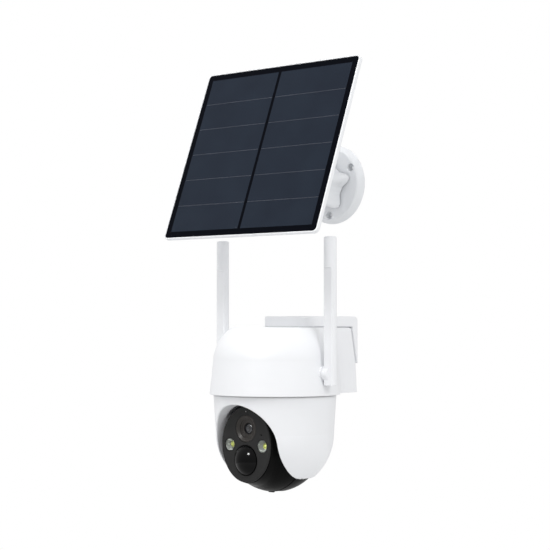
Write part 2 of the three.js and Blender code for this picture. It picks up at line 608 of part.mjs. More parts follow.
const tiltAway = rad(TILT_GEAR.away);
const tiltReach = (TILT_GEAR.module * (TILT_GEAR.teeth + TILT_GEAR.pinion)) / 2;
const tiltPinionAt = [tiltReach * Math.cos(tiltAway), tiltReach * Math.sin(tiltAway)];
for (const [name, side] of [['left', -1], ['right', 1]]) {
  const along = (from, to, r, segments) => bar([side * from, 0, 0], [side * to, 0, 0], r, r, segments);
  const flange = along(AXLE.from, AXLE.flangeTo, AXLE.flange, 24);
  const shaft = along(AXLE.from + 0.5, AXLE.to, AXLE.r, 24);
  const passage = along(AXLE.from - 0.5, AXLE.to + 0.2, AXLE.bore, 16);
  piece(`tilt_axle_${name}`, cut(join(flange, shaft), passage), gearWhite, pivot);
}
const tiltWheelShape = gearOutline(TILT_GEAR.module, TILT_GEAR.teeth, tiltAway);
const tiltWheel = prism('x', tiltWheelShape, TILT_GEAR.x, TILT_GEAR.thick);
const tiltHole = bar([30, 0, 0], [42, 0, 0], AXLE.hole, AXLE.hole, 24);
piece('tilt_gear', cut(tiltWheel, tiltHole), gearWhite, pivot);
const tiltPinionPhase = meshPhase(tiltAway, TILT_GEAR.pinion);
const tiltPinionShape = gearOutline(TILT_GEAR.module, TILT_GEAR.pinion, tiltPinionPhase);
const tiltPinion = prism('x', tiltPinionShape, TILT_GEAR.x + 0.2, TILT_GEAR.thick - 0.4);
piece('tilt_pinion', solid(skin(tiltPinion).translate(0, ...tiltPinionAt)), brass, pivot);
const tiltMotorAt = (x) => [x, ...tiltPinionAt];
const motorEnds = [TILT_MOTOR.from, TILT_MOTOR.to].map(tiltMotorAt);
piece('tilt_motor', bar(...motorEnds, TILT_MOTOR.r, TILT_MOTOR.r, 28), steel, pivot);

// ---------------------------------------------------------------- head

// An oval ring across the view direction.
function oval(y, halfX, halfZ, count = 36) {
  return turnAngles(count).map((a) => new THREE.Vector3(halfX * Math.cos(a), y, halfZ * Math.sin(a)));
}

// The head's outer form: a ball flattened at the cheeks, with an oval snout that ends in the face.
function headSolid(inset) {
  const profile = [[0, -HEAD.half + inset]];
  for (let i = 0; i <= 8; i += 1) {
    const x = (HEAD.half - inset) * (i / 4 - 1);
    profile.push([Math.sqrt((HEAD.sphere - inset) ** 2 - x ** 2), x]);
  }
  profile.push([0, HEAD.half - inset]);
  const ball = turned('x', profile, [0, 0, 0], 36);
  const slope = (FACE.rootX - FACE.halfX) / (FACE.root - FACE.front);
  const snout = loft([
    oval(FACE.root + 12, FACE.rootX - 4 - inset, FACE.rootZ - 4 - inset),
    oval(FACE.root, FACE.rootX - inset, FACE.rootZ - inset),
    oval(FACE.front - inset, FACE.halfX - (slope + 1) * inset, FACE.halfZ - inset),
  ]);
  return join(ball, snout);
}

const headWall = cut(headSolid(0), headSolid(HEAD.wall));
const faceBack = FACE.front + FACE.thick + GAP;
const headHole = bar([-40, 0, 0], [40, 0, 0], AXLE.hole, AXLE.hole, 24);

// The lid that covers the card slot, in the ball's underside: a band round the tilt axis.
const lidMiddle = (LID.front + LID.rear) / 2;
const lidHalf = (LID.rear - LID.front) / 2;
const lidZone = (extra) => block({ x: 0, y: lidMiddle }, LID.half + extra, lidHalf + extra, -50, -30);
const lidBand = (inner, outer) => cut(
  bar([-12, 0, 0], [12, 0, 0], outer, outer, 48),
  bar([-13, 0, 0], [13, 0, 0], inner, inner, 48),
);
const lidOuter = Math.sqrt(HEAD.sphere ** 2 - LID.half ** 2);
const lidRecess = lidBand(lidOuter - LID.thick - GAP, HEAD.sphere + 2).intersect(lidZone(GAP));
const cardMouth = box([-6.5, 0, -50], [6.5, 2.4, -30]);
const frontZone = box([-40, faceBack, -50], [40, HEAD.split - GAP / 2, 50]);
const rearZone = box([-40, HEAD.split + GAP / 2, -50], [40, 50, 50]);
piece('head_front_shell', headWall.intersect(frontZone), blackShell, pivot);
piece('head_rear_shell', cut(
  join(
    headWall.intersect(rearZone),
    lidBand(lidOuter - LID.thick - 2.2, lidOuter - LID.thick - GAP).intersect(lidZone(1.5)),
  ),
  lidRecess, cardMouth, headHole,
), blackShell, pivot);
piece('service_cover', join(
  lidBand(lidOuter - LID.thick, lidOuter).intersect(lidZone(0)),
  box([-2.6, LID.front + 0.2, -lidOuter - 1.2], [2.6, LID.front + 2, -lidOuter + 0.8]),
), darkRubber, pivot);
piece('card_reader', cut(
  box([-7.5, -1.5, -36.5], [7.5, 3.9, -21]),
  box([-5.8, 0.4, -40], [5.8, 2, -23]),
), steel, pivot);

// A hole through the face plate along the view direction.
const faceHole = (x, z, r, segments) => bar([x, FACE.front - 5, z], [x, FACE.front + 5, z], r, r, segments);
const facePlate = loft([
  oval(FACE.front + FACE.thick, FACE.halfX + 0.5, FACE.halfZ + 0.3),
  oval(FACE.front, FACE.halfX, FACE.halfZ),
]);
piece('face_plate', cut(
  facePlate,
  faceHole(0, LENS.z, LENS.r + 0.1, 28),
  faceHole(0, SENSE.z, SENSE.r + 0.1, 28),
  ...sides.map((side) => faceHole(side * LAMP.x, LAMP.z, LAMP.r + 0.1, 20)),
  faceHole(0, STATUS.z, STATUS.r + 0.15, 10),
  faceHole(MIC.x, MIC.z, MIC.r, 10),
), charcoal, pivot);

// Bodies of revolution that look out along -Y: heights are distances in front of the tilt axis.
const lookout = (profile, x, z, segments = 28) => turned('y', profile, [x, 0, z], segments);
const front = -FACE.front;
piece('lens_bezel', lookout([
  [4.5, front - 7], [9.5, front - 7], [9.5, front - 3], [10.9, front - 3], [10.9, front - 0.4],
  [10.2, front - 0.2], [8.2, front - 1.7], [7.9, front - 2.5], [5.2, front - 3], [4.5, front - 3.6],
  [4.5, front - 7],
], 0, LENS.z), charcoal, pivot);
piece('lens_glass', lookout([
  [0, front - 6], [4.2, front - 6], [4.2, front - 3.8], [3.2, front - 3.1], [1.8, front - 2.7],
  [0, front - 2.5],
], 0, LENS.z), blackGloss, pivot);
piece('lens_barrel', lookout([
  [5, front - 20], [8.5, front - 20], [8.5, front - 12], [7.5, front - 12], [7.5, front - 7.3],
  [5, front - 7.3], [5, front - 20],
], 0, LENS.z), blackShell, pivot);

// The sensor's dome is a cap of a ball. An arc of its profile runs from an angle off the axis to the axis.
const domeR = (SENSE.r ** 2 + SENSE.rise ** 2) / (2 * SENSE.rise);
const domeArc = (r, edge, steps = 4) => Array.from({ length: steps + 1 }, (_, i) => {
  const angle = (edge * (steps - i)) / steps;
  return [r * Math.sin(angle), front + SENSE.rise - domeR + r * Math.cos(angle)];
});
const domeWall = 1.2;
const domeFoot = SENSE.r - 0.2;
const domeEdge = Math.asin(domeFoot / domeR);
piece('motion_sensor_dome', lookout([
  ...domeArc(domeR - domeWall, domeEdge - rad(4)).reverse(),
  [10.9, front - 2.2], [domeFoot, front - 2.2], ...domeArc(domeR, domeEdge),
], 0, SENSE.z), blackGloss, pivot);
piece('motion_sensor', join(
  bar([0, -front + 4, SENSE.z], [0, -front + 8, SENSE.z], 4.6, 4.6, 24),
  box([-8, -front + 7.8, SENSE.z - 8], [8, -front + 9, SENSE.z + 8]),
), steel, pivot);
for (const [name, side] of [['left', -1], ['right', 1]]) {
  piece(`lamp_lens_${name}`, lookout([
    [0, front - 2.2], [4.9, front - 2.2], [4.9, front + 0.1], [4.2, front + 0.8], [2.4, front + 1.3],
    [0, front + 1.5],
  ], side * LAMP.x, LAMP.z, 16), clearLens, pivot);
  piece(`lamp_reflector_${name}`, lookout([
    [0, front - 7], [2.6, front - 7], [4.9, front - 4], [4.9, front - 2.5], [4.5, front - 2.5],
    [1.9, front - 6], [0, front - 6],
  ], side * LAMP.x, LAMP.z, 16), chrome, pivot);
}
const statusLight = bar([0, -front + 0.1, STATUS.z], [0, -front + 3, STATUS.z], STATUS.r, STATUS.r, 10);
piece('status_light', statusLight, clearLens, pivot);

// ---------------------------------------------------------------- solar panel's wall base

const mast = new THREE.Group();
mast.position.set(0, 0, BASE.z);
camera.add(mast);

// Bodies of revolution about the base's axis: heights are distances from the wall.
const offWall = (profile, segments = 36) => turned('y', profile, [0, 0, 0], segments);
// A point on a ball round the joint's centre, at an angle from the axis on the wall's side.
const ballPoint = (r, degrees) => [r * Math.sin(rad(degrees)), BASE.ball - r * Math.cos(rad(degrees))];
const socket = [70, 50, 30, 10, 0].map((a) => ballPoint(BALL.seat, a));
const baseBody = offWall([
  [0, 0], [BASE.r, 0], [BASE.r, 1], [BASE.faceR + 0.6, BASE.thick - 0.7], [BASE.faceR - 0.4, BASE.thick],
  [BASE.tube + 1.4, BASE.thick], [BASE.tube, BASE.thick + 1], [BASE.tube, BASE.tubeTo], ...socket,
]);
const baseHoles = BASE_HOLE.angles.map((a) => {
  const at = (y) => [BASE_HOLE.at * Math.cos(rad(a)), y, BASE_HOLE.at * Math.sin(rad(a))];
  const mouth = at(-BASE.thick - 1);
  const bore = bar(at(1), mouth, BASE_HOLE.r, BASE_HOLE.r, 12);
  return join(bore, bar(at(-BASE_HOLE.floor), mouth, BASE_HOLE.wide, BASE_HOLE.wide, 16));
});
piece('solar_base', cut(baseBody, ...baseHoles), greyWhite, mast);

const padAngles = [0, 25, 50];
const pad = [
  ...padAngles.map((a) => ballPoint(BALL.padOuter, a)),
  ...padAngles.map((a) => ballPoint(BALL.padInner, a)).reverse(),
];
piece('ball_seat', offWall(pad, 20), darkRubber, mast);

// The star knob: rings whose lobes fade into a round nose.
function knobRing(distance) {
  const along = THREE.MathUtils.clamp((distance - KNOB.from - 8) / (KNOB.to - KNOB.from - 8), 0, 1);
  const tip = KNOB.tip + (KNOB.noseR - KNOB.tip) * along;
  const valley = KNOB.valley + (KNOB.noseR - KNOB.valley) * along;
  return turnAngles(50).map((a) => {
    const wave = 0.5 + 0.5 * Math.cos(LOBES.count * (a - rad(LOBES.first)));
    const r = valley + (tip - valley) * wave ** LOBES.sharp;
    return new THREE.Vector3(r * Math.cos(a), -distance, r * Math.sin(a));
  });
}
const lipAt = 3;
const lipR = Math.sqrt((BALL.r + 0.4) ** 2 - lipAt ** 2);
const knobInside = offWall([
  [0, KNOB.from - 1], [KNOB.bore, KNOB.from - 1], [KNOB.bore, BASE.ball - 1], [lipR, BASE.ball + lipAt],
  [KNOB.bore + 0.5, KNOB.to + 0.5], [0, KNOB.to + 0.5],
], 40);
const knobSteps = [0, 0.25, 0.5, 0.75, 1].map((t) => KNOB.from + (KNOB.to - KNOB.from) * t);
piece('lock_knob', cut(loft(knobSteps.map(knobRing)), knobInside), greyWhite, mast);

// ---------------------------------------------------------------- solar panel

// Drawn from the ball's centre: X across, Y up the panel, Z along the arm and out of the glass.
const panel = new THREE.Group();
panel.position.set(0, -BASE.ball, BASE.z);
panel.rotation.x = rad(PANEL.lean);
camera.add(panel);

const ballProfile = [-60, -30, 0, 30, 60].map((a) => [BALL.r * Math.cos(rad(a)), BALL.r * Math.sin(rad(a))]);
const armBody = turned('z', [
  [0, -BALL.r], ...ballProfile, [BALL.neck, 10.2], [BALL.neck, 34], [6.5, 38], [6.5, 41], [3.2, 41],
  [3.2, 52], [0, 52],
], [0, 0, 0], 24);
piece('ball_arm', armBody, greyWhite, panel);
const nutHole = bar([0, 0, 41], [0, 0, 46], HUB.bore, HUB.bore, 24);
piece('arm_nut', cut(bar([0, 0, 41.3], [0, 0, 45.3], 7.5, 7.5, 6), nutHole), steel, panel);

const inner = { w: PANEL.width - 2 * PANEL.bezel, h: PANEL.height - 2 * PANEL.bezel };
const rear = PANEL.face + GAP - PANEL.edge;
const frameBody = cut(
  prism('z', roundedRect(PANEL.width, PANEL.height, PANEL.corner), rear, PANEL.edge, 6),
  prism('z', roundedRect(inner.w + 0.6, inner.h + 0.6, 3), rear + 1.2, 10, 5),
  prism('z', roundedRect(inner.w - 8, inner.h - 7, 3), rear - 1, 10, 5),
);
piece('panel_frame', frameBody, whiteShell, panel);
const sheet = prism('z', roundedRect(inner.w, inner.h, 2.7), PANEL.face - GLASS, GLASS, 5);
piece('panel_glass', sheet, glassDark, panel);

// Each string is a column of cells joined by the ribbon that runs down their middle.
const cellW = (inner.w - 2 * CELLS.side - CELLS.gap) / 2;
const pitchY = (inner.h - 2 * CELLS.ends) / CELLS.rows;
const cellZ = PANEL.face - 1.7;
for (const [name, side] of [['left', -1], ['right', 1]]) {
  const cx = side * (CELLS.gap + cellW) / 2;
  const ribbon = block({ x: cx, y: 0 }, 1, inner.h / 2 - CELLS.ends - 2, cellZ, cellZ + CELLS.thick);
  const cells = Array.from({ length: CELLS.rows }, (_, row) => {
    const y = (row - (CELLS.rows - 1) / 2) * pitchY;
    return block({ x: cx, y }, cellW / 2, (pitchY - CELLS.line) / 2, cellZ, cellZ + CELLS.thick);
  });
  piece(`cell_string_${name}`, join(ribbon, ...cells), cellBlue, panel);
}

// Back cover: a plate inside the frame, a raised hub for the arm, and the box where the lead leaves.
const backPlate = prism('z', roundedRect(inner.w - 8.6, inner.h - 7.6, 2.7), rear - 0.6, 1.8, 5);
const hubBody = turned('z', [
  [0, HUB.low], [HUB.narrow, HUB.low], [HUB.narrow, 50], [HUB.wide, rear - 2.5], [HUB.wide, rear], [0, rear],
], [0, 0, 0], 28);
const hubBore = bar([0, 0, HUB.low - 1], [0, 0, 53], HUB.bore, HUB.bore, 24);
const boxOutline = roundedRect(LEAD_BOX.w, LEAD_BOX.h, LEAD_BOX.cornerR, 0, LEAD_BOX.y);
const leadBox = prism('z', boxOutline, rear - LEAD_BOX.deep, LEAD_BOX.deep, 4);

// A bar down the panel from the lead box's middle, where the gland stands.
function glandBar(from, to, r, endR, segments) {
  const at = (distance) => [0, LEAD_BOX.y - distance, rear - LEAD_BOX.below];
  return bar(at(from), at(to), r, endR, segments);
}
const boxSide = LEAD_BOX.h / 2;
const leadBore = glandBar(0, boxSide + 3, LEAD_BOX.bore, LEAD_BOX.bore, 16);
piece('panel_back', cut(join(backPlate, hubBody, leadBox), hubBore, leadBore), whiteShell, panel);
piece('cable_gland', cut(
  join(
    glandBar(boxSide + GAP, boxSide + 3, GLAND.r, GLAND.r, 6),
    glandBar(boxSide + 2.8, boxSide + 8, GLAND.r - 0.4, GLAND.tip, 20),
    glandBar(boxSide - 2, boxSide + 1, GLAND.stem, GLAND.stem, 16),
  ),
  glandBar(boxSide - 4, boxSide + 9, GLAND.bore, GLAND.bore, 16),
), darkRubber, panel);

export default camera;
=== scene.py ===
"""Looks for the solar-powered security camera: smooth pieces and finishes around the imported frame.

Sizes are millimetres in the row frame, as in the part: the origin is on the wall behind the camera, +Y points
into the wall, the camera looks along -Y and +Z is up. Each mesh is turned into metres when it is made.
"""

import itertools
import json
import math

import bpy
import numpy as np
from mathutils import Matrix, Vector


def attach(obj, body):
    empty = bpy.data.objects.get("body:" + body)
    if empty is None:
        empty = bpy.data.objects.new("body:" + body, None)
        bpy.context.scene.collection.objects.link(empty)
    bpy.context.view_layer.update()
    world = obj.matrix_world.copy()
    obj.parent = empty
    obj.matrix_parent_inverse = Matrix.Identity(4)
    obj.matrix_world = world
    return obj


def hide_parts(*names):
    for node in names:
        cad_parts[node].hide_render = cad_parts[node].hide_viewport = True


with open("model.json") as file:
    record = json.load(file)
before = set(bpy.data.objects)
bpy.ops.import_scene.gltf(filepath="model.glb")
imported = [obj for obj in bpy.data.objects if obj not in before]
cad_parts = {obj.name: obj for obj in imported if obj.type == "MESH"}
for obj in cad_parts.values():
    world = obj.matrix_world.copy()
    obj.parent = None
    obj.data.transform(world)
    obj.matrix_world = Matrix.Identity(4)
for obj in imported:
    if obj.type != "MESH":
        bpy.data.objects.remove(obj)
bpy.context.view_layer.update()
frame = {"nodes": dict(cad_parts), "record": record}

MM = 0.001
GAP = 0.3
WALL = 2.2
SIDES = (("left", -1), ("right", 1))

# ---------------------------------------------------------------- places, from the frame

joints = {joint["name"]: joint for joint in frame["record"]["behaviour"]["joints"]}


def pivot(name):
    """A joint's place in millimetres."""
    return np.array(joints[name]["pos_m"]) * 1000


PAN_Y = pivot("pan")[1]
TILT = pivot("tilt")
BALL_AT = pivot("ball_swivel")
BASE_Z = BALL_AT[2]
BALL_OUT = -BALL_AT[1]
ANTENNA_X, _, ANTENNA_Z = pivot("antenna_right_fold")
PANEL_OUT = np.array(joints["panel_spin"]["axis"])

# ---------------------------------------------------------------- sizes

CAP = {"top": 12, "bottom": -44.8, "rim": 55.5, "waist": 52.4, "waist_z": -16.5, "rise": 40}
BOSS = {"bore": 2.4, "r": 6, "from": 50.2, "to": 54.5}
BACK = {"half": 27, "slant_top": 8.5, "slant_foot": 2, "foot_z": -19.5, "corner": 3, "blend": 15}
BRACKET = {"half": 27, "top": 21.4, "front": -68, "underside": 12.15, "corner": 9, "edge": 4, "slack": 0.15}
RECESS = {"y": -45, "r": 4.6, "deep": 1.3}
HOUSING = {"top": 39.5, "rim": 52, "ball": 50, "ball_z": 8.4, "lip": 0.8, "lip_r": 50.7, "below": 45}
AXLE_HOLE = {"housing_r": 4.9, "housing_to": 36, "head_r": 4.8}
SLOT = {"half": 33.3, "arch": 33.5, "foot": 43, "back": 1, "sphere": 43.3, "wall": 1.5, "swing_gap": 0.8}
HEAD = {"sphere": 41.5, "half": 32, "split": -8, "wall": 2}
LID = {"half_x": 9.3, "y": 2.75, "half_y": 8.55, "z": -30, "floor_r": 39}
FACE = {"front": -37.2, "thick": 1.8, "draft": 0.15, "half_x": 26.6, "half_z": 31.3}
SNOUT = {"root": -20, "half_x": 31.9, "half_z": 36, "tail": 10, "tail_slope": 3}
LENS = {"z": 13.3, "r": 11.2, "glass_r": 4.1, "glass_top": -2.7, "iris_top": -2.62, "curve": 0.075}
LAMP = {"x": 18, "z": -0.5, "r": 5.2, "cover_r": 4.9, "chip_r": 2.4}
SENSE = {"z": -12.9, "r": 12.6, "rise": 6.2, "rim": 12.4, "foot": -2.2}
STATUS = {"z": 27.6, "r": 0.6}
MIC = {"x": 17.3, "z": 8.9, "r": 0.65}
ANTENNA = {"r": 5.35, "bottom": -36.1, "top": 87.1, "flat": 3.5, "flat_top": 61.6}
ANTENNA_HUB = {"r": 5.7, "from": 54.8, "bore": 2.3, "bore_to": 59.6}
BASE = {"r": 35, "face_r": 31.5, "thick": 7, "tube": 13.6, "tube_to": 34, "socket": 12.2}
BASE_HOLES = {"angles": (30, 150, 270), "r": 27.4, "bore": 2.1, "sink": 3.3, "sink_from": 2.5}
KNOB = {"from": 8, "to": 41, "tip": 24.5, "valley": 16.5, "nose": 15, "lobes": 5, "first": 11, "sharp": 2}
KNOB_FORM = {"edge": 1.6, "straight": 8, "mouth": 11.6, "throat": 11.1, "bore": 14}
BALL_R = 11
PANEL = {"face": 66, "width": 171.4, "height": 160, "edge": 4.4, "bezel": 1.5, "corner": 4.5}
PANEL_INSIDE = {"corner": 2.7, "sheet": 1.2, "rail": 5.5, "back_margin": 5.8}
CELLS = {"rows": 6, "side": 5.5, "ends": 5, "gap": 3, "line": 0.5}
CELLS_STAND = {"below": 0.3, "above": 0.05, "line_above": 0.03}
LEAD_BOX = {"width": 34, "height": 18, "corner": 3, "deep": 9, "edge": 1.2, "y": -46}

# ---------------------------------------------------------------- camera

VIEW = {"azimuth": 41.05, "rise": 1.78, "distance": 1347, "height": 14.5, "lens": 103.75}


def place_camera():
    """Stands to the right of the front, level with the cap's top, looking slightly up."""
    turn = math.radians(VIEW["azimuth"])
    rise = math.radians(VIEW["rise"])
    data = bpy.data.cameras.new("photo_camera")
    data.lens = VIEW["lens"]
    data.clip_start = 0.05
    camera = bpy.data.objects.new("photo_camera", data)
    back = Vector((math.sin(turn), -math.cos(turn), 0))
    camera.location = (back * VIEW["distance"] + Vector((0, PAN_Y, VIEW["height"]))) * MM
    ahead = Vector((-back.x * math.cos(rise), -back.y * math.cos(rise), math.sin(rise)))
    camera.rotation_euler = ahead.to_track_quat("-Z", "Y").to_euler()
    bpy.context.scene.collection.objects.link(camera)
    bpy.context.scene.camera = camera


place_camera()

# ---------------------------------------------------------------- implicit surfaces

# A field is negative inside a body and close to the distance from its surface, in millimetres.


def round_union(a, b, r):
    """Both bodies, with a fillet of radius r where they meet."""
    return np.maximum(r, np.minimum(a, b)) - np.hypot(np.maximum(r - a, 0), np.maximum(r - b, 0))


def round_meet(a, b, r):
    """What both bodies share, with its edge rounded to radius r."""
    return np.minimum(-r, np.maximum(a, b)) + np.hypot(np.maximum(r + a, 0), np.maximum(r + b, 0))


def oval_field(x, z, half_x, half_z, power=2):
    """An oval outline: an ellipse, or squarer for a higher power."""
    u = np.abs(x / half_x)
    v = np.abs(z / half_z)
    size = np.maximum((u ** power + v ** power) ** (1 / power), 1e-6)
    slope_x = u ** (power - 1) / half_x
    slope_z = v ** (power - 1) / half_z
    slope = size ** (1 - power) * np.hypot(slope_x, slope_z)
    return (size - 1) / np.maximum(slope, 1e-4)


CORNERS = list(itertools.product((0, 1), repeat=3))
SLOPE_STEP = 0.02


def cube_edges():
    """Pairs of a cube's corners that are one step apart along one axis."""
    pairs = []
    for a, b in itertools.product(CORNERS, CORNERS):
        ahead = all(q >= p for p, q in zip(a, b))
        if ahead and sum(b) - sum(a) == 1:
            pairs.append((a, b))
    return pairs


EDGES = cube_edges()


def gradient(field, points):
    """The field's slope at each point."""
    columns = []
    for axis in np.eye(3) * SLOPE_STEP:
        columns.append(field(*(points + axis).T) - field(*(points - axis).T))
    return np.stack(columns, axis=1) / (2 * SLOPE_STEP)


def onto_surface(field, points, cell):
    """Moves points along the field's slope until they lie on its surface."""
    for _ in range(3):
        slope = gradient(field, points)
        step = -field(*points.T)[:, None] * slope / np.maximum((slope ** 2).sum(axis=1), 1e-6)[:, None]
        length = np.linalg.norm(step, axis=1, keepdims=True)
        points = points + step * np.minimum(1, 0.4 * cell / np.maximum(length, 1e-9))
    return points


def neighbour_mean(points, faces):
    """For each point, the mean of the points that share an edge with it."""
    this = faces.ravel()
    total = np.zeros_like(points)
    for turn in (1, -1):
        other = points[np.roll(faces, turn, axis=1).ravel()]
        for axis in range(3):
            total[:, axis] += np.bincount(this, other[:, axis], len(points))
    return total / (2 * np.bincount(this, minlength=len(points))[:, None])


def implicit(field, low, high, cell):
    """Points, faces and normals of the surface where a field is zero, found on a grid of cubes."""
    axes = [np.arange(a - 1.5 * cell, b + 2 * cell, cell) for a, b in zip(low, high)]
    value = field(*np.meshgrid(*axes, indexing="ij"))
    inside = value < 0
    size = [n - 1 for n in inside.shape]

    def corner(data, at):
        return data[at[0]:at[0] + size[0], at[1]:at[1] + size[1], at[2]:at[2] + size[2]]

    filled = sum(corner(inside, at).astype(int) for at in CORNERS)
    crossed = (filled > 0) & (filled < len(CORNERS))
    number = np.full(size, -1)
    number[crossed] = np.arange(np.count_nonzero(crossed))

    # Each crossed cube gets one point, which starts between the places where the surface cuts its edges.
    total = np.zeros((np.count_nonzero(crossed), 3))
    hits = np.zeros(len(total))
    for a, b in EDGES:
        start = corner(value, a)[crossed]
        end = corner(value, b)[crossed]
        cut = (start < 0) != (end < 0)
        share = np.where(cut, start / np.where(cut, start - end, 1), 0)
        total += (np.array(a) + share[:, None] * (np.array(b) - np.array(a))) * cut[:, None]
        hits += cut
    origin = np.array([axis[0] for axis in axes])
    points = origin + (np.argwhere(crossed) + total / hits[:, None]) * cell

    faces = []
    for a in range(3):
        b, c = (a + 1) % 3, (a + 2) % 3
        lower = np.take(inside, range(size[a]), axis=a)
        upper = np.take(inside, range(1, size[a] + 1), axis=a)
        at = np.argwhere(lower != upper)
        step_b, step_c = np.eye(3, dtype=int)[[b, c]]
        around = (step_b + step_c, step_c, 0 * step_b, step_b)
        quads = np.stack([number[tuple((at - step).T)] for step in around], axis=1)
        turned = ~lower[tuple(at.T)]
        quads[turned] = quads[turned, ::-1]
        faces.append(quads)
    faces = np.concatenate(faces)

    # Then the points move onto the surface, and evening them out between moves keeps the edges smooth.
    points = onto_surface(field, points, cell)
    for _ in range(3):
        points = onto_surface(field, (points + neighbour_mean(points, faces)) / 2, cell)
    slope = gradient(field, points)
    normals = slope / np.maximum(np.linalg.norm(slope, axis=1, keepdims=True), 1e-9)
    return points, faces.tolist(), normals


# ---------------------------------------------------------------- lofts and turned shapes

ARC_STEPS = 5
CORNER_STEPS = 8
AROUND = 96
NEAR_AXIS = 0.05


def loft(rings, closed=False):
    """Points and faces through rings of equal length, each anticlockwise seen from the last ring's side."""
    rings = np.asarray(rings, float)
    count, around = rings.shape[:2]
    faces = []
    for i in range(count if closed else count - 1):
        this = i * around
        after = ((i + 1) % count) * around
        for k in range(around):
            n = (k + 1) % around
            faces.append((this + k, this + n, after + n, after + k))
    if not closed:
        faces.append(tuple(range(around))[::-1])
        faces.append(tuple(range((count - 1) * around, count * around)))
    return rings.reshape(-1, 3), faces, None


def rounded(corners, radii, closed=False):
    """An open or closed line of 2D corners, with an arc of the given radius at each inner corner."""
    corners = [np.array(p, float) for p in corners]
    line = []
    for i, (p, r) in enumerate(zip(corners, radii)):
        if r == 0 or (not closed and i in (0, len(corners) - 1)):
            line.append(p)
            continue
        back = corners[i - 1] - p
        ahead = corners[(i + 1) % len(corners)] - p
        back_length = np.linalg.norm(back)
        ahead_length = np.linalg.norm(ahead)
        half = 0.5 * math.acos(np.clip(back @ ahead / (back_length * ahead_length), -1, 1))
        reach = min(r / math.tan(half), 0.49 * back_length, 0.49 * ahead_length)
        start = p + back / back_length * reach
        end = p + ahead / ahead_length * reach
        middle = back / back_length + ahead / ahead_length
        middle /= np.linalg.norm(middle)
        centre = p + middle * reach / math.cos(half)
        radius = reach * math.tan(half)
        for t in np.linspace(0, 1, ARC_STEPS + 1):
            way = start * (1 - t) + end * t - centre
            line.append(centre + way / np.linalg.norm(way) * radius)
    return np.array(line)


def turned_shape(profile, at, axis="y", segments=AROUND):
    """A body of revolution from (radius, height) points. Heights run along -Y from at, or along +X or +Z."""
    profile = np.asarray(profile, float)
    angles = np.linspace(0, 2 * math.pi, segments, endpoint=False)
    r = profile[:, :1]
    h = np.repeat(profile[:, 1:], segments, axis=1)
    c, s = r * np.cos(angles), r * np.sin(angles)
    if axis == "y":
        rings = np.stack([c, -h, s], axis=2)
    elif axis == "x":
        rings = np.stack([h, c, s], axis=2)
    else:
        rings = np.stack([c, s, h], axis=2)
    return loft(rings + np.asarray(at, float))


def rect_ring(width, height, corner, z, inset=0):
    """Points round a rectangle with round corners, at a height, inset from its outline."""
    points = []
    r = max(corner - inset, 0.3)
    for quarter, (sx, sy) in enumerate([(1, -1), (1, 1), (-1, 1), (-1, -1)]):
        cx = sx * (width / 2 - inset - r)
        cy = sy * (height / 2 - inset - r)
        for t in np.linspace(0, math.pi / 2, CORNER_STEPS + 1):
            angle = (quarter - 1) * math.pi / 2 + t
            points.append((cx + r * math.cos(angle), cy + r * math.sin(angle), z))
    return points


def crown(reach, top, curve, count):
    """Profile points of a shallow dome, from its rim to its middle."""
    return [(r, top - curve * r ** 2) for r in np.linspace(NEAR_AXIS, reach, count)][::-1]


def slab(width, height, corner, low, high, edge, centre=(0, 0)):
    """A flat block with round corners in plan and rounded edges above and below."""
    outline = rounded([(2 * edge, low), (0, low), (0, high), (2 * edge, high)], [0, edge, edge, 0])
    rings = np.array([rect_ring(width, height, corner, z, inset) for inset, z in outline])
    rings[:, :, :2] += np.array(centre)
    return loft(rings)


# ---------------------------------------------------------------- finishes


class Nodes:
    """A short way to build a material's nodes."""

    def __init__(self, name):
        self.material = bpy.data.materials.new(name)
        self.material.use_nodes = True
        self.tree = self.material.node_tree
        self.shader = self.tree.nodes["Principled BSDF"]
        self.place = self.add("ShaderNodeTexCoord").outputs["Object"]

    def add(self, kind, **values):
        node = self.tree.nodes.new(kind)
        for key, value in values.items():
            setattr(node, key, value)
        return node

    def link(self, out, socket):
        self.tree.links.new(out, socket)

    def stretched(self, scale):
        """The object's own coordinates, scaled along each axis."""
        mapping = self.add("ShaderNodeMapping")
        mapping.inputs["Scale"].default_value = scale
        self.link(self.place, mapping.inputs["Vector"])
        return mapping.outputs["Vector"]

    def noise(self, scale, detail=3.0, vector=None):
        node = self.add("ShaderNodeTexNoise")
        node.inputs["Scale"].default_value = scale
        node.inputs["Detail"].default_value = detail
        self.link(vector or self.place, node.inputs["Vector"])
        return node.outputs["Fac"]

    def spread(self, value, low, high):
        """A 0 to 1 value mapped onto a range."""
        node = self.add("ShaderNodeMapRange")
        node.inputs["From Min"].default_value = 0.3
        node.inputs["From Max"].default_value = 0.7
        node.inputs["To Min"].default_value = low
        node.inputs["To Max"].default_value = high
        self.link(value, node.inputs["Value"])
        return node.outputs["Result"]

    def blend(self, value, low, high):
        """A 0 to 1 value mapped onto two colours."""
        node = self.add("ShaderNodeValToRGB")
        node.color_ramp.elements[0].position = 0.3
        node.color_ramp.elements[1].position = 0.7
        node.color_ramp.elements[0].color = (*low, 1)
        node.color_ramp.elements[1].color = (*high, 1)
        self.link(value, node.inputs["Fac"])
        return node.outputs["Color"]

    def bump(self, height, distance):
        """Relief whose full height is a distance in millimetres."""
        node = self.add("ShaderNodeBump")
        node.inputs["Strength"].default_value = 1.0
        node.inputs["Distance"].default_value = distance * MM
        self.link(height, node.inputs["Height"])
        self.link(node.outputs["Normal"], self.shader.inputs["Normal"])

    def set(self, **values):
        for key, value in values.items():
            self.shader.inputs[key.replace("_", " ")].default_value = value


def scaled(colour, factor):
    return tuple(c * factor for c in colour)


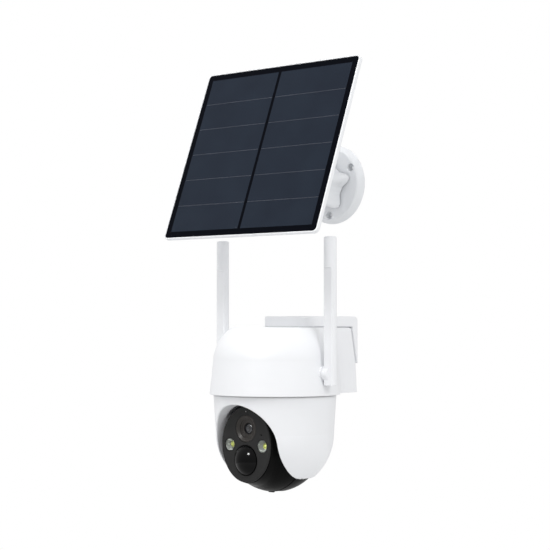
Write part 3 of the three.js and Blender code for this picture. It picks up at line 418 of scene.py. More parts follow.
def plastic(name, colour, rough, relief=0.004, mottle=0.03, specular=0.5):
    """Moulded plastic: a fine grain, slightly uneven gloss and a faint flow mottle."""
    n = Nodes(name)
    flow = n.blend(n.noise(35, 4), scaled(colour, 1 - mottle), scaled(colour, 1 + mottle))
    n.link(flow, n.shader.inputs["Base Color"])
    n.link(n.spread(n.noise(180, 3), rough * 0.9, rough * 1.12), n.shader.inputs["Roughness"])
    n.bump(n.noise(1400, 2), relief)
    n.set(Specular_IOR_Level=specular)
    return n.material


def metal(name, colour, rough, along=(1, 1, 40)):
    """Metal with fine brush marks across one axis."""
    n = Nodes(name)
    marks = n.noise(160, 4, n.stretched(along))
    n.link(n.blend(marks, scaled(colour, 0.88), scaled(colour, 1.06)), n.shader.inputs["Base Color"])
    n.link(n.spread(marks, rough * 0.8, rough * 1.25), n.shader.inputs["Roughness"])
    n.bump(marks, 0.006)
    n.set(Metallic=1.0)
    return n.material


def circuit_board():
    """Solder mask with a faint pattern of tracks."""
    n = Nodes("board_green")
    tracks = n.add("ShaderNodeTexVoronoi", feature="DISTANCE_TO_EDGE", distance="MANHATTAN")
    tracks.inputs["Scale"].default_value = 420
    n.link(n.place, tracks.inputs["Vector"])
    green = n.blend(tracks.outputs["Distance"], (0.03, 0.2, 0.1), (0.012, 0.09, 0.045))
    n.link(green, n.shader.inputs["Base Color"])
    n.link(n.spread(n.noise(200), 0.35, 0.5), n.shader.inputs["Roughness"])
    n.bump(tracks.outputs["Distance"], 0.03)
    return n.material


def clear(name, tint, rough, ior):
    """Clear moulded plastic with slight surface waviness."""
    n = Nodes(name)
    n.link(n.blend(n.noise(90), scaled(tint, 0.985), tint), n.shader.inputs["Base Color"])
    n.link(n.spread(n.noise(260), rough * 0.8, rough * 1.3), n.shader.inputs["Roughness"])
    n.bump(n.noise(300, 1), 0.004)
    n.set(IOR=ior)
    n.shader.inputs["Transmission Weight"].default_value = 1.0
    return n.material


def silicon():
    """Slate cells with fine collector fingers and slightly uneven blocks under a clear sheet."""
    n = Nodes("solar_cell")
    fingers = n.add("ShaderNodeTexWave", wave_type="BANDS", bands_direction="X", wave_profile="SIN")
    fingers.inputs["Scale"].default_value = 190
    n.link(n.place, fingers.inputs["Vector"])
    mixed = n.add("ShaderNodeMix", data_type="RGBA", blend_type="MULTIPLY")
    mixed.inputs["Factor"].default_value = 0.5
    n.link(n.blend(n.noise(28, 2), (0.0160, 0.0215, 0.0335), (0.0185, 0.0255, 0.0390)), mixed.inputs["A"])
    n.link(n.blend(fingers.outputs["Fac"], (0.82, 0.82, 0.82), (1, 1, 1)), mixed.inputs["B"])
    n.link(mixed.outputs["Result"], n.shader.inputs["Base Color"])
    n.link(n.spread(n.noise(60), 0.16, 0.24), n.shader.inputs["Roughness"])
    n.bump(n.noise(900, 1), 0.002)
    n.set(Specular_IOR_Level=0.05)
    return n.material


def floor_finish():
    """Pale floor with a painted glow: it emits light that brightens it to white far from the object."""
    n = Nodes("pale_floor")
    far = n.add("ShaderNodeVectorMath", operation="LENGTH")
    n.link(n.place, far.inputs[0])
    # Painted glow: emission that is zero near the object and grows to 0.4 farther away, so the floor fades
    # into the white backdrop.
    glow = n.add("ShaderNodeMapRange", interpolation_type="SMOOTHSTEP")
    glow.inputs["From Min"].default_value = 0.4
    glow.inputs["From Max"].default_value = 2.4
    glow.inputs["To Max"].default_value = 0.4
    n.link(far.outputs["Value"], glow.inputs["Value"])
    n.link(glow.outputs["Result"], n.shader.inputs["Emission Strength"])
    n.link(n.blend(n.noise(3), (0.70, 0.70, 0.70), (0.73, 0.73, 0.73)), n.shader.inputs["Base Color"])
    n.set(Roughness=0.9, Emission_Color=(1, 1, 1, 1))
    return n.material


WHITE = (0.84, 0.85, 0.87)
GREY_WHITE = (0.74, 0.755, 0.775)
BLACK = (0.003, 0.003, 0.003)
CHARCOAL = (0.027, 0.027, 0.027)
LENS_GREY = (0.038, 0.034, 0.031)
GLOSS_BLACK = (0.0012, 0.0012, 0.0014)
SHEET_BLUE = (0.0012, 0.0018, 0.0042)
finishes = {
    "white_shell": plastic("white_shell", WHITE, 0.4, mottle=0.008),
    "grey_white": plastic("grey_white", GREY_WHITE, 0.5, mottle=0.012, relief=0.006),
    "black_shell": plastic("black_shell", BLACK, 0.36, specular=0.05, mottle=0.08, relief=0.002),
    "charcoal": plastic("charcoal", CHARCOAL, 0.55, relief=0.006, specular=0.08, mottle=0.05),
    "lens_grey": plastic("lens_grey", LENS_GREY, 0.42, relief=0.003, specular=0.2, mottle=0.05),
    "black_gloss": plastic("black_gloss", GLOSS_BLACK, 0.11, relief=0.0, specular=0.13, mottle=0.1),
    "dark_rubber": plastic("dark_rubber", (0.02, 0.02, 0.021), 0.8, relief=0.02, specular=0.25, mottle=0.08),
    "steel": metal("steel", (0.62, 0.63, 0.64), 0.3),
    "brass": metal("brass", (0.72, 0.55, 0.29), 0.3),
    "chrome": metal("chrome", (0.72, 0.73, 0.74), 0.16, (8, 1, 8)),
    "clear_lens": clear("clear_lens", (0.96, 0.98, 0.97), 0.1, 1.2),
    "board_green": circuit_board(),
    "gear_white": plastic("gear_white", (0.74, 0.72, 0.66), 0.45, mottle=0.02),
    "solar_cell": silicon(),
    "panel_glass": plastic("panel_glass", SHEET_BLUE, 0.14, relief=0.0, specular=0.03, mottle=0.1),
    "cell_wrap": plastic("cell_wrap", (0.05, 0.2, 0.25), 0.35, relief=0.003, mottle=0.05),
}
phosphor = plastic("lamp_phosphor", (0.62, 0.66, 0.16), 0.5, relief=0.02, mottle=0.08)
cell_line = plastic("cell_line", (0.07, 0.078, 0.1), 0.3, relief=0.002, mottle=0.1, specular=0.2)
lamp_silver = plastic("lamp_silver", (0.36, 0.37, 0.36), 0.45, relief=0.004, mottle=0.06)
lens_coating = plastic("lens_coating", (0.010, 0.012, 0.018), 0.1, relief=0.0, specular=1.0, mottle=0.2)
status_grey = plastic("status_grey", (0.3, 0.3, 0.3), 0.3, relief=0.0, mottle=0.05)

# ---------------------------------------------------------------- making pieces


def piece(name, shapes, body, slot, replaced=(), material=None, matrix=None):
    """One object from closed shapes in millimetres. It rides on a body and stands for CAD nodes."""
    points = []
    faces = []
    normals = []
    for shape_points, shape_faces, shape_normals in shapes:
        start = sum(len(p) for p in points)
        points.append(shape_points)
        faces += [tuple(start + i for i in face) for face in shape_faces]
        normals.append(shape_normals)
    mesh = bpy.data.meshes.new(name)
    mesh.from_pydata((np.concatenate(points) * MM).tolist(), [], faces)
    mesh.shade_smooth()
    made = bpy.data.objects.new(name, mesh)
    bpy.context.scene.collection.objects.link(made)
    if all(n is not None for n in normals):
        mesh.normals_split_custom_set_from_vertices(np.concatenate(normals).tolist())
    else:
        weighted = made.modifiers.new("even_shading", "WEIGHTED_NORMAL")
        weighted.weight = 100
    mesh.materials.append(material or finishes[slot])
    if matrix is not None:
        made.matrix_world = matrix
    bpy.context.view_layer.update()
    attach(made, body)
    if replaced:
        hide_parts(*replaced)
    return made


# ---------------------------------------------------------------- cap and bracket


def dome_radius(z):
    above = CAP["waist"] * np.sqrt(np.maximum(1 - ((z - CAP["waist_z"]) / CAP["rise"]) ** 2, 0))
    share = (CAP["waist_z"] - z) / (CAP["waist_z"] - CAP["bottom"])
    below = CAP["waist"] + (CAP["rim"] - CAP["waist"]) * share
    return np.where(z > CAP["waist_z"], above, below)


def back_slant(z):
    """Distance of the slanted rear face from the wall."""
    low = BACK["slant_foot"] * (z - CAP["bottom"]) / (BACK["foot_z"] - CAP["bottom"])
    share = (z - BACK["foot_z"]) / (CAP["top"] - BACK["foot_z"])
    high = BACK["slant_foot"] + (BACK["slant_top"] - BACK["slant_foot"]) * share
    return np.where(z < BACK["foot_z"], low, high)


def cap_field(x, y, z, inset):
    """In plan: the dome's disc and the rear block, blended together."""
    disc = np.hypot(x, y - PAN_Y) - dome_radius(z) + inset
    dx = np.abs(x) - BACK["half"] + inset + BACK["corner"]
    dy = np.maximum(y + back_slant(z) + inset + BACK["corner"], PAN_Y - y)
    outside = np.hypot(np.maximum(dx, 0), np.maximum(dy, 0))
    block = np.minimum(np.maximum(dx, dy), 0) + outside - BACK["corner"]
    h = np.clip(0.5 + (block - disc) / (2 * BACK["blend"]), 0, 1)
    return block + (disc - block) * h - BACK["blend"] * h * (1 - h)


corner_angle = math.degrees(math.atan2(-PAN_Y - BACK["corner"], BACK["half"] - BACK["corner"] / 2))
even = np.linspace(0, 360, 480, endpoint=False)
near = np.linspace(-4, 4, 33)
cap_angles = np.radians(np.sort(np.concatenate([even, corner_angle + near, 180 - corner_angle + near])))


def cap_ring(z, inset):
    """The cap's outline at a height, found along rays from the pan axis."""
    inner = np.zeros_like(cap_angles)
    outer = np.full_like(cap_angles, 120.0)
    for _ in range(34):
        r = (inner + outer) / 2
        inside = cap_field(r * np.cos(cap_angles), PAN_Y + r * np.sin(cap_angles), z, inset) < 0
        inner = np.where(inside, r, inner)
        outer = np.where(inside, outer, r)
    height = np.full_like(inner, z)
    return np.stack([inner * np.cos(cap_angles), PAN_Y + inner * np.sin(cap_angles), height], axis=1)


def cap_shell():
    """Outside up, over the rounded top edge, then inside down to the rim."""
    edge = 2.2
    rim = 0.7
    rings = []
    for t in np.linspace(0, math.pi / 2, 5):
        rings.append(cap_ring(CAP["bottom"] + rim * (1 - math.sin(t)), rim * (1 - math.cos(t))))
    rings = rings[::-1]
    for z in np.linspace(CAP["bottom"] + 3, CAP["waist_z"], 8):
        rings.append(cap_ring(z, 0))
    for z in np.linspace(CAP["waist_z"], CAP["top"] - edge, 20)[1:]:
        rings.append(cap_ring(z, 0))
    for t in np.linspace(0, math.pi / 2, 9)[1:]:
        rings.append(cap_ring(CAP["top"] - edge * (1 - math.sin(t)), edge * (1 - math.cos(t))))
    for inset in (edge + 1, edge + 8):
        rings.append(cap_ring(CAP["top"], inset))
    outside = loft(rings)
    inner = [cap_ring(z, WALL) for z in np.linspace(CAP["bottom"] + 0.001, CAP["top"] - WALL, 8)]
    inner_points, inner_faces, _ = loft(inner)
    around = len(cap_angles)
    start = len(outside[0])
    faces = [face for face in outside[1] if face != tuple(range(around))[::-1]]
    for face in inner_faces[:-2] + [inner_faces[-1]]:
        faces.append(tuple(start + i for i in reversed(face)))
    for k in range(around):
        n = (k + 1) % around
        faces.append((n, k, start + k, start + n))
    return np.concatenate([outside[0], inner_points]), faces, None


def cap_boss(side):
    """The round boss that an antenna turns on."""
    corners = [
        (BOSS["bore"], BOSS["from"]), (BOSS["r"], BOSS["from"]),
        (BOSS["r"], BOSS["to"]), (BOSS["bore"], BOSS["to"]),
    ]
    outline = rounded(corners, [0, 0, 0.5, 0])
    profile = [(r, side * x) for r, x in outline]
    return turned_shape(profile if side > 0 else profile[::-1], (0, PAN_Y, ANTENNA_Z), "x")


piece("cap_shell", [cap_shell(), cap_boss(-1), cap_boss(1)], "wall_unit", "white_shell", ["top_cap"])


def bracket_field(x, y, z):
    """A shelf over the cap and a wedge-shaped plate down the wall behind it."""
    edge = 1.4
    share = (z - BACK["foot_z"]) / (CAP["top"] - BACK["foot_z"])
    slant = BACK["slant_foot"] + (BACK["slant_top"] - BACK["slant_foot"]) * share - BRACKET["slack"]
    plate = np.maximum(-y - slant, BACK["foot_z"] - z)
    shelf = BRACKET["underside"] - z
    rear_top = round_meet(y, z - BRACKET["top"], BRACKET["edge"])
    qx = np.abs(x) - BRACKET["half"] + BRACKET["corner"]
    qy = BRACKET["front"] - y + BRACKET["corner"]
    outside = np.hypot(np.maximum(qx, 0), np.maximum(qy, 0))
    plan = np.minimum(np.maximum(qx, qy), 0) + outside - BRACKET["corner"]
    body = round_meet(round_meet(rear_top, plan, edge), np.minimum(plate, shelf), 0.35)
    recess = np.maximum(np.hypot(x, y - RECESS["y"]) - RECESS["r"], BRACKET["top"] - RECESS["deep"] - z)
    return round_meet(body, -recess, 0.3)


bracket_low = (-BRACKET["half"], BRACKET["front"], BACK["foot_z"])
bracket_high = (BRACKET["half"], 0, BRACKET["top"])
bracket_shape = implicit(bracket_field, bracket_low, bracket_high, 0.8)
piece("bracket", [bracket_shape], "wall_unit", "white_shell", ["wall_bracket"])

# ---------------------------------------------------------------- antennas


def antenna_field(side):
    """A rod with a flat down its front, and a hub towards the cap with a bore for the pin."""
    def field(x, y, z):
        across = x - side * ANTENNA_X
        ahead = PAN_Y - y
        rod = np.hypot(across, ahead) - ANTENNA["r"]
        rod = round_meet(rod, z - ANTENNA["top"], 1.6)
        rod = round_meet(rod, ANTENNA["bottom"] - z, 0.35)
        run_out = np.clip(z - ANTENNA["flat_top"] + 0.5, 0, 1)
        depth = ANTENNA["flat"] + (ANTENNA["r"] + 0.5 - ANTENNA["flat"]) * run_out
        rod = round_meet(rod, ahead - depth, 0.3)
        out = side * x
        from_pin = np.hypot(ahead, z - ANTENNA_Z)
        hub_ends = np.maximum(ANTENNA_HUB["from"] - out, out - ANTENNA_X)
        hub = round_meet(from_pin - ANTENNA_HUB["r"], hub_ends, 0.5)
        bore = np.maximum(from_pin - ANTENNA_HUB["bore"], out - ANTENNA_HUB["bore_to"])
        return np.maximum(round_union(rod, hub, 0.4), -bore)
    return field


for name, side in SIDES:
    across = (side * ANTENNA_X - 6, side * ANTENNA_X + 6)
    low = (across[0], PAN_Y - ANTENNA_HUB["r"], ANTENNA["bottom"])
    high = (across[1], PAN_Y + ANTENNA_HUB["r"], ANTENNA["top"])
    rod = implicit(antenna_field(side), low, high, 0.55)
    piece(f"antenna_{name}_rod", [rod], f"antenna_{name}", "white_shell", [f"antenna_{name}"])

# ---------------------------------------------------------------- pan housing


def bullet_field(x, y, z, inset):
    """A slight taper that ends in half a ball. Heights are from the tilt axis."""
    ball = np.sqrt(x ** 2 + y ** 2 + (z - HOUSING["ball_z"]) ** 2) - HOUSING["ball"]
    share = (z - HOUSING["ball_z"]) / (HOUSING["top"] - HOUSING["ball_z"])
    taper = np.hypot(x, y) - HOUSING["ball"] - (HOUSING["rim"] - HOUSING["ball"]) * share
    return np.where(z < HOUSING["ball_z"], ball, taper) + inset


def head_room_field(x, y, z, extra):
    """The slot, the ball's room between the cheeks and the face's swing above."""
    arch = oval_field(x, z, SLOT["half"] + extra, SLOT["arch"] + extra)
    foot = oval_field(x, z, SLOT["half"] + extra, SLOT["foot"] + extra, 4)
    tunnel = np.maximum(np.where(z > 0, arch, foot), y - SLOT["back"])
    ball = np.sqrt(x ** 2 + y ** 2 + z ** 2) - SLOT["sphere"] - extra
    room = np.maximum(ball, np.abs(x) - SLOT["half"] - extra)
    reach = np.sqrt(np.maximum(1 - (x / FACE["half_x"]) ** 2, 0)) * FACE["half_z"]
    swing = np.hypot(y, z) - np.hypot(FACE["front"], reach) - SLOT["swing_gap"] - extra
    swing = np.maximum(swing, np.abs(x) - FACE["half_x"] - extra)
    swing = np.maximum(swing, np.maximum(-z, y))
    return round_union(round_union(tunnel, room, 1.0), swing, 1.5)


def housing_field(x, y, z):
    """The bullet's shell, lined where the slot cuts it, with a raised lip and a hole for the axle."""
    y = y - PAN_Y
    z = z - TILT[2]
    top = np.where(np.hypot(x, y) < HOUSING["lip_r"], HOUSING["top"], HOUSING["top"] + HOUSING["lip"])
    outer = round_meet(bullet_field(x, y, z, 0), z - top, 0.4)
    lining = np.minimum(-bullet_field(x, y, z, WALL), head_room_field(x, y, z, SLOT["wall"]))
    walls = np.maximum(outer, lining)
    axle = np.maximum(np.hypot(y, z) - AXLE_HOLE["housing_r"], np.abs(x) - AXLE_HOLE["housing_to"])
    walls = np.maximum(walls, -axle)
    return round_meet(walls, -head_room_field(x, y, z, 0), 1.3)


housing_low = (-HOUSING["rim"], PAN_Y - HOUSING["rim"], TILT[2] - HOUSING["below"])
housing_high = (HOUSING["rim"], PAN_Y + HOUSING["rim"], TILT[2] + HOUSING["top"] + HOUSING["lip"])
housing = implicit(housing_field, housing_low, housing_high, 0.65)
piece("housing_shell", [housing], "pan_unit", "white_shell", ["pan_housing"])

# ---------------------------------------------------------------- head


def head_field(x, y, z, inset):
    """A ball flattened at the cheeks, with an oval snout that ends in the face."""
    ball = np.sqrt(x ** 2 + y ** 2 + z ** 2) - HEAD["sphere"] + inset
    ball = round_meet(ball, np.abs(x) - HEAD["half"] + inset, 1.5)
    share = np.clip((y - FACE["front"]) / (SNOUT["root"] - FACE["front"]), -1, 1)
    taper = np.maximum(y - SNOUT["root"], 0) / SNOUT["tail_slope"]
    half_x = FACE["half_x"] + (SNOUT["half_x"] - FACE["half_x"]) * share - taper
    half_z = FACE["half_z"] + (SNOUT["half_z"] - FACE["half_z"]) * share - taper
    snout = oval_field(x, z, half_x - inset, half_z - inset)
    snout = np.maximum(snout, np.maximum(FACE["front"] + inset - y, y - SNOUT["root"] - SNOUT["tail"]))
    return round_union(ball, snout, 1.0)


def head_wall(x, y, z):
    return np.maximum(head_field(x, y, z, 0), -head_field(x, y, z, HEAD["wall"]))


def head_front_field(x, y, z):
    """The part ahead of the split, open where the face sits."""
    y = y - PAN_Y
    z = z - TILT[2]
    face_back = FACE["front"] + FACE["thick"] + GAP
    cut = np.maximum(y - HEAD["split"] + GAP / 2, face_back - y)
    return round_meet(head_wall(x, y, z), cut, 0.3)


def head_rear_field(x, y, z):
    """The part behind the split, with a recess for the service lid and a hole for the axles."""
    y = y - PAN_Y
    z = z - TILT[2]
    shell = round_meet(head_wall(x, y, z), HEAD["split"] + GAP / 2 - y, 0.3)
    lid = np.maximum(np.abs(x) - LID["half_x"], np.abs(y - LID["y"]) - LID["half_y"])
    lid = np.maximum(lid, z - LID["z"])
    recess = np.maximum(lid, LID["floor_r"] - np.hypot(y, z))
    axle = np.hypot(y, z) - AXLE_HOLE["head_r"]
    return np.maximum(np.maximum(shell, -recess), -axle)


head_half = HEAD["half"] + 1
head_foot = TILT[2] - HEAD["sphere"]
head_top = TILT[2] + HEAD["sphere"]
split_y = PAN_Y + HEAD["split"]
front_low = (-head_half, PAN_Y + FACE["front"], head_foot)
head_front = implicit(head_front_field, front_low, (head_half, split_y, head_top), 0.7)
piece("head_front", [head_front], "head", "black_shell", ["head_front_shell"])
rear_high = (head_half, PAN_Y + HEAD["sphere"], head_top)
head_rear = implicit(head_rear_field, (-head_half, split_y, head_foot), rear_high, 0.85)
piece("head_rear", [head_rear], "head", "black_shell", ["head_rear_shell"])


def face_field(x, y, z):
    """The flat oval face with its openings."""
    y = y - PAN_Y - FACE["front"]
    z = z - TILT[2]
    outline = oval_field(x, z, FACE["half_x"] + FACE["draft"] * y, FACE["half_z"] + FACE["draft"] * y)
    plate = round_meet(outline, -y, 0.55)
    plate = np.maximum(plate, y - FACE["thick"])
    openings = [(0, LENS["z"], LENS["r"] + 0.1), (0, SENSE["z"], SENSE["r"] + 0.1)]
    openings += [(0, STATUS["z"], STATUS["r"] + 0.15), (MIC["x"], MIC["z"], MIC["r"])]
    openings += [(side * LAMP["x"], LAMP["z"], LAMP["r"] + 0.1) for side in (-1, 1)]
    for at_x, at_z, radius in openings:
        plate = round_meet(plate, radius - np.hypot(x - at_x, z - at_z), min(0.35, radius / 3))
    return plate


front_y = PAN_Y + FACE["front"]
face_x = math.ceil(FACE["half_x"])
face_z = math.ceil(FACE["half_z"])
face_high = (face_x, front_y + FACE["thick"], TILT[2] + face_z)
face = implicit(face_field, (-face_x, front_y, TILT[2] - face_z), face_high, 0.4)
piece("face", [face], "head", "charcoal", ["face_plate"])


def face_turned(profile, x, z, segments=AROUND):
    """A body of revolution on the face: heights are in front of the face."""
    return turned_shape(profile, (x, front_y, TILT[2] + z), "y", segments)


# Steps down from the raised ring to the glass, as (radius, height) points.
bezel = rounded([
    (4.5, -7), (9.5, -7), (9.5, -3), (11.1, -3), (11.1, -0.35), (10.3, -0.35), (8.4, -1.7), (7.9, -1.7),
    (7.9, -2.5), (6.4, -2.7), (6.4, -3.1), (5.0, -3.3), (4.5, -3.7),
], [0, 0.2, 0.2, 0.2, 0.25, 0.3, 0.2, 0.15, 0.2, 0.1, 0.15, 0.15, 0])


def ring_shape(profile, x, z):
    """A closed ring on the face from a closed profile."""
    points, faces, _ = face_turned(profile, x, z)
    faces = [face for face in faces if len(face) == 4]
    last = len(points) - AROUND
    for k in range(AROUND):
        n = (k + 1) % AROUND
        faces.append((last + k, last + n, n, k))
    return points, faces, None


lens_rim = ring_shape(bezel, 0, LENS["z"])
piece("lens_rim", [lens_rim], "head", "charcoal", ["lens_bezel"], finishes["lens_grey"])
lens_profile = [(NEAR_AXIS, -6), (LENS["glass_r"], -6)]
lens_profile += crown(LENS["glass_r"], LENS["glass_top"], LENS["curve"], 14)
lens_glass = face_turned(lens_profile, 0, LENS["z"])
piece("lens_front", [lens_glass], "head", "black_gloss", ["lens_glass"], lens_coating)
iris = [(r, LENS["iris_top"] - LENS["curve"] * r ** 2) for r in (2.3, 2.15, 2.0)]
iris_ring = ring_shape([(2.0, -3.2), (2.5, -3.2)] + iris, 0, LENS["z"])
piece("lens_iris", [iris_ring], "head", "black_gloss", (), finishes["lens_grey"])

sense_r = (SENSE["r"] ** 2 + SENSE["rise"] ** 2) / (2 * SENSE["rise"])
sense_profile = [(NEAR_AXIS, SENSE["foot"]), (SENSE["rim"], SENSE["foot"])]
for t in np.linspace(math.asin(SENSE["rim"] / sense_r), 0.004, 28):
    sense_profile.append((sense_r * math.sin(t), SENSE["rise"] - sense_r + sense_r * math.cos(t)))
sense_dome = face_turned(sense_profile, 0, SENSE["z"], 128)
piece("sensor_dome", [sense_dome], "head", "black_gloss", ["motion_sensor_dome"])

dot_profile = [(NEAR_AXIS, -3), (0.55, -3), (0.55, -0.15), (0.3, -0.02), (NEAR_AXIS, 0)]
dot = face_turned(dot_profile, 0, STATUS["z"], 32)
piece("status_dot", [dot], "head", "clear_lens", ["status_light"], status_grey)

cover_profile = crown(4.3, 0.3, 0.05, 10)[::-1] + [(LAMP["cover_r"], -1.0)]
cover_profile += crown(LAMP["cover_r"], 1.3, 0.055, 14)
bowl_profile = rounded([
    (NEAR_AXIS, -7), (2.6, -7), (4.95, -4), (4.95, -1.4),
    (4.6, -1.4), (4.3, -2.6), (2.2, -5.6), (NEAR_AXIS, -5.6),
], [0, 0.2, 0.3, 0.1, 0.1, 0.6, 0.5, 0])
chip_profile = [(NEAR_AXIS, -5.5), (LAMP["chip_r"], -5.5)] + crown(LAMP["chip_r"], -3.4, 0.16, 10)
for name, side in SIDES:
    lamp_x = side * LAMP["x"]
    cover = face_turned(cover_profile, lamp_x, LAMP["z"])
    bowl = face_turned(bowl_profile, lamp_x, LAMP["z"])
    chip = face_turned(chip_profile, lamp_x, LAMP["z"], 48)
    piece(f"lamp_cover_{name}", [cover], "head", "clear_lens", [f"lamp_lens_{name}"])
    piece(f"lamp_bowl_{name}", [bowl], "head", "chrome", [f"lamp_reflector_{name}"], lamp_silver)
    piece(f"lamp_chip_{name}", [chip], "head", "clear_lens", (), phosphor)

# ---------------------------------------------------------------- solar panel's base and knob


def base_field(x, y, z):
    """A disc on the wall with countersunk holes, and a socket tube for the ball."""
    out = -y
    r = np.hypot(x, z - BASE_Z)
    share = np.clip((out - 1) / (BASE["thick"] - 1), 0, 1)
    rim = r - BASE["r"] + (BASE["r"] - BASE["face_r"]) * share
    disc = round_meet(rim, out - BASE["thick"], 1.2)
    disc = round_meet(disc, -out, 0.4)
    tube = np.maximum(r - BASE["tube"], np.maximum(out - BASE["tube_to"], -out))
    body = round_union(disc, tube, 1.4)
    body = np.maximum(body, BASE["socket"] - np.sqrt(r ** 2 + (out - BALL_OUT) ** 2))
    for angle in BASE_HOLES["angles"]:
        across = x - BASE_HOLES["r"] * math.cos(math.radians(angle))
        up = z - BASE_Z - BASE_HOLES["r"] * math.sin(math.radians(angle))
        from_middle = np.hypot(across, up)
        sink = np.maximum(from_middle - BASE_HOLES["sink"], BASE_HOLES["sink_from"] - out)
        hole = np.minimum(from_middle - BASE_HOLES["bore"], sink)
        body = round_meet(body, -hole, 0.35)
    return body


base_low = (-BASE["r"], -BASE["tube_to"], BASE_Z - BASE["r"])
base_high = (BASE["r"], 0, BASE_Z + BASE["r"])
base = implicit(base_field, base_low, base_high, 0.7)
piece("base_flange", [base], "wall_unit", "grey_white", ["solar_base"])


knob_angles = np.linspace(0, 2 * math.pi, 240, endpoint=False)


def knob_round(out, radius):
    """A ring round the knob's axis at a distance from the wall. Its radius is one number or one per point."""
    height = np.full_like(knob_angles, -out)
    return np.stack([radius * np.cos(knob_angles), height, BASE_Z + radius * np.sin(knob_angles)], axis=1)


def knob_star(out, inset):
    """The star outline at a distance from the wall: the lobes fade into a round nose."""
    start = KNOB["from"] + KNOB_FORM["straight"]
    along = min(max((out - start) / (KNOB["to"] - start), 0), 1)
    tip = KNOB["tip"] + (KNOB["nose"] - KNOB["tip"]) * along
    valley = KNOB["valley"] + (KNOB["nose"] - KNOB["valley"]) * along
    wave = 0.5 + 0.5 * np.cos(KNOB["lobes"] * (knob_angles - math.radians(KNOB["first"])))
    return knob_round(out, valley + (tip - valley) * wave ** KNOB["sharp"] - inset)


def knob_rings():
    """Outside from the wall to the nose, over rounded edges, then inside back to the wall."""
    edge = KNOB_FORM["edge"]
    quarter = np.linspace(0, math.pi / 2, 7)
    rings = [knob_star(KNOB["from"] + edge * (1 - math.cos(t)), edge * (1 - math.sin(t))) for t in quarter]
    rings += [knob_star(out, 0) for out in np.linspace(KNOB["from"] + 3, KNOB["to"] - 2.5, 24)]
    rings += [knob_star(KNOB["to"] - edge * (1 - math.sin(t)), edge * (1 - math.cos(t))) for t in quarter]
    rings.append(knob_round(KNOB["to"], KNOB_FORM["mouth"]))
    rings.append(knob_round(BALL_OUT + 3, KNOB_FORM["throat"]))
    rings.append(knob_round(BALL_OUT - 1, KNOB_FORM["bore"]))
    rings.append(knob_round(KNOB["from"], KNOB_FORM["bore"]))
    return rings


piece("star_knob", [loft(knob_rings(), closed=True)], "lock_knob", "grey_white", ["lock_knob"])

# ---------------------------------------------------------------- solar panel

# Panel pieces are drawn from the ball's centre: X across, Y up the panel and Z out of the glass.
up_panel = np.cross(PANEL_OUT, (1, 0, 0))
axes = Matrix(((1, 0, 0), up_panel, PANEL_OUT)).transposed()
panel_matrix = Matrix.Translation(Vector(BALL_AT) * MM) @ axes.to_4x4()
inner_w = PANEL["width"] - 2 * PANEL["bezel"]
inner_h = PANEL["height"] - 2 * PANEL["bezel"]
rim_top = PANEL["face"] + GAP
rear = rim_top - PANEL["edge"]


def panel_piece(name, shapes, body, slot, replaced=(), material=None):
    return piece(name, shapes, body, slot, replaced, material, panel_matrix)


arm_ball = [(BALL_R * math.cos(t), BALL_R * math.sin(t)) for t in np.radians(np.linspace(-89.5, 62, 26))]
# The neck widens to a collar, and a thinner end goes into the panel's hub.
arm_neck = rounded([
    (4, 10.2), (4, 34), (6.5, 38), (6.5, 41), (3.2, 41), (3.2, 52), (NEAR_AXIS, 52),
], [1.5, 1, 1, 0.4, 0, 0.4, 0])
arm = turned_shape(arm_ball + arm_neck.tolist(), (0, 0, 0), "z", 80)
panel_piece("arm", [arm], "ball_arm", "grey_white", ["ball_arm"])

rail = PANEL_INSIDE["rail"]
frame_line = rounded([
    (0, rear), (0, rim_top), (1.2, rim_top), (1.2, rear + 1.2), (rail, rear + 1.2), (rail, rear),
], [1.3, 0.7, 0.25, 0, 0.1, 0.3], closed=True)
frame_rings = []
for inset, z in frame_line[::-1]:
    frame_rings.append(rect_ring(PANEL["width"], PANEL["height"], PANEL["corner"], z, inset))
panel_piece("panel_rim", [loft(frame_rings, closed=True)], "panel", "white_shell", ["panel_frame"])
sheet_from = PANEL["face"] - PANEL_INSIDE["sheet"]
sheet = slab(inner_w, inner_h, PANEL_INSIDE["corner"], sheet_from, PANEL["face"], 0.2)
panel_piece("panel_sheet", [sheet], "panel", "panel_glass", ["panel_glass"])

# The cells lie under the sheet; here they stand a hair above it, so that they show through its dark border.
cell_w = (inner_w - 2 * CELLS["side"] - CELLS["gap"]) / 2
pitch = (inner_h - 2 * CELLS["ends"]) / CELLS["rows"]
cell_h = pitch - CELLS["line"]
cells_low = PANEL["face"] - CELLS_STAND["below"]
cells_high = PANEL["face"] + CELLS_STAND["above"]
lines_high = PANEL["face"] + CELLS_STAND["line_above"]
for name, side in SIDES:
    centre_x = side * (CELLS["gap"] + cell_w) / 2
    cells = []
    lines = []
    for row in range(CELLS["rows"]):
        centre_y = (row + 0.5 - CELLS["rows"] / 2) * pitch
        cells.append(slab(cell_w, cell_h, 0.3, cells_low, cells_high, 0.02, (centre_x, centre_y)))
        if row:
            at = (centre_x, centre_y - pitch / 2)
            lines.append(slab(cell_w - 0.4, CELLS["line"], 0.1, cells_low, lines_high, 0.01, at))
    panel_piece(f"cells_{name}", cells, "panel", "solar_cell", [f"cell_string_{name}"])
    panel_piece(f"cell_lines_{name}", lines, "panel", "solar_cell", (), cell_line)

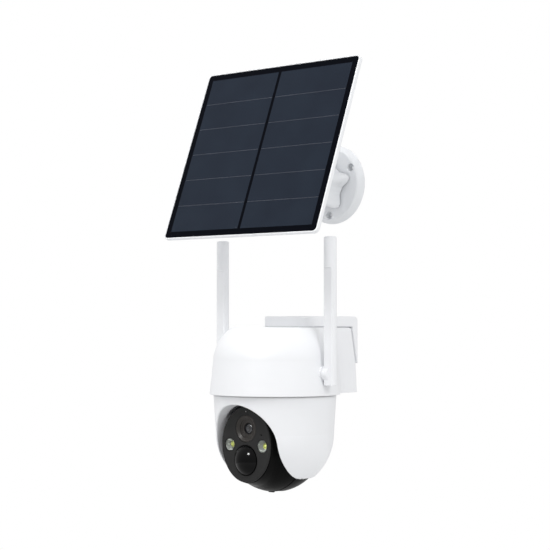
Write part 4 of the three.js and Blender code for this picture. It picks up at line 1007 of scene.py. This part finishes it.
# The hub is a shallow cone on the back plate, from the arm's end out to the plate.
hub_profile = rounded([
    (NEAR_AXIS, 45.8), (13, 45.8), (13, 50), (30, rear - 2.5), (30, rear + 0.5), (NEAR_AXIS, rear + 0.5),
], [0, 0.8, 3, 1, 0, 0])
hub = turned_shape(hub_profile, (0, 0, 0), "z")
plate_w = PANEL["width"] - 2 * PANEL_INSIDE["back_margin"]
plate_h = PANEL["height"] - 2 * PANEL_INSIDE["back_margin"]
plate = slab(plate_w, plate_h, PANEL_INSIDE["corner"], rear - 0.6, rear + 1.1, 0.4)
lead_box = slab(
    LEAD_BOX["width"], LEAD_BOX["height"], LEAD_BOX["corner"],
    rear - LEAD_BOX["deep"], rear, LEAD_BOX["edge"], (0, LEAD_BOX["y"]),
)
panel_piece("panel_back_cover", [plate, hub, lead_box], "panel", "white_shell", ["panel_back"])

# ---------------------------------------------------------------- the frame's own nodes

slots = {part["node"]: part["material_slot"] for part in frame["record"]["subparts"]}
for name, node in frame["nodes"].items():
    node.data.materials.clear()
    node.data.materials.append(finishes[slots[name]])
    if node.hide_render:
        continue
    bevel = node.modifiers.new("soft_edges", "BEVEL")
    bevel.width = 0.18 * MM
    bevel.segments = 2
    bevel.limit_method = "ANGLE"
    bevel.angle_limit = math.radians(40)

# ---------------------------------------------------------------- studio


def area_light(name, azimuth, elevation, distance, size, power, mirrored=False):
    """A square soft light aimed at the object's middle. Azimuth 0 is in front of the camera's face.

    A mirrored light shows only in glossy surfaces, and the others only light the matt ones.
    """
    data = bpy.data.lights.new(name, "AREA")
    data.size = size
    data.energy = power
    light = bpy.data.objects.new(name, data)
    light.visible_glossy = mirrored
    light.visible_diffuse = not mirrored
    a, e = math.radians(azimuth), math.radians(elevation)
    back = Vector((math.sin(a) * math.cos(e), -math.cos(a) * math.cos(e), math.sin(e)))
    light.location = back * distance + Vector((0, PAN_Y * MM, 0))
    light.rotation_euler = (-back).to_track_quat("-Z", "Y").to_euler()
    bpy.context.scene.collection.objects.link(light)


def studio_world():
    """A soft surround, brighter above than below, that the camera sees as plain white."""
    world = bpy.data.worlds.new("studio")
    world.use_nodes = True
    tree = world.node_tree
    background = tree.nodes["Background"]
    background.inputs["Color"].default_value = (1, 1, 1, 1)
    direction = tree.nodes.new("ShaderNodeSeparateXYZ")
    tree.links.new(tree.nodes.new("ShaderNodeTexCoord").outputs["Generated"], direction.inputs["Vector"])
    level = tree.nodes.new("ShaderNodeMapRange")
    level.inputs["From Min"].default_value = -1
    level.inputs["From Max"].default_value = 1
    level.inputs["To Min"].default_value = 0.4
    level.inputs["To Max"].default_value = 0.92
    tree.links.new(direction.outputs["Z"], level.inputs["Value"])
    seen = tree.nodes.new("ShaderNodeMix")
    seen.inputs["B"].default_value = 1.0
    tree.links.new(tree.nodes.new("ShaderNodeLightPath").outputs["Is Camera Ray"], seen.inputs["Factor"])
    tree.links.new(level.outputs["Result"], seen.inputs["A"])
    tree.links.new(seen.outputs["Result"], background.inputs["Strength"])
    bpy.context.scene.world = world


def studio():
    studio_world()
    bpy.context.scene.view_settings.view_transform = "Standard"
    area_light("key", 0, 58, 1.6, 0.5, 8)
    area_light("side", -58, 31, 1.6, 0.12, 3)
    area_light("fill", 75, 28, 1.8, 0.6, 7)
    area_light("glint", 5, 34, 1.6, 0.24, 22, mirrored=True)
    floor_z = -0.75
    floor_r = 3
    turns = np.linspace(0, 2 * math.pi, AROUND, endpoint=False)
    mesh = bpy.data.meshes.new("floor")
    ring = [(floor_r * math.cos(t), floor_r * math.sin(t), 0) for t in turns]
    mesh.from_pydata(ring, [], [tuple(range(AROUND))])
    mesh.materials.append(floor_finish())
    floor = bpy.data.objects.new("floor", mesh)
    floor.location = (0, PAN_Y * MM, floor_z)
    bpy.context.scene.collection.objects.link(floor)


studio()

bpy.context.view_layer.update()
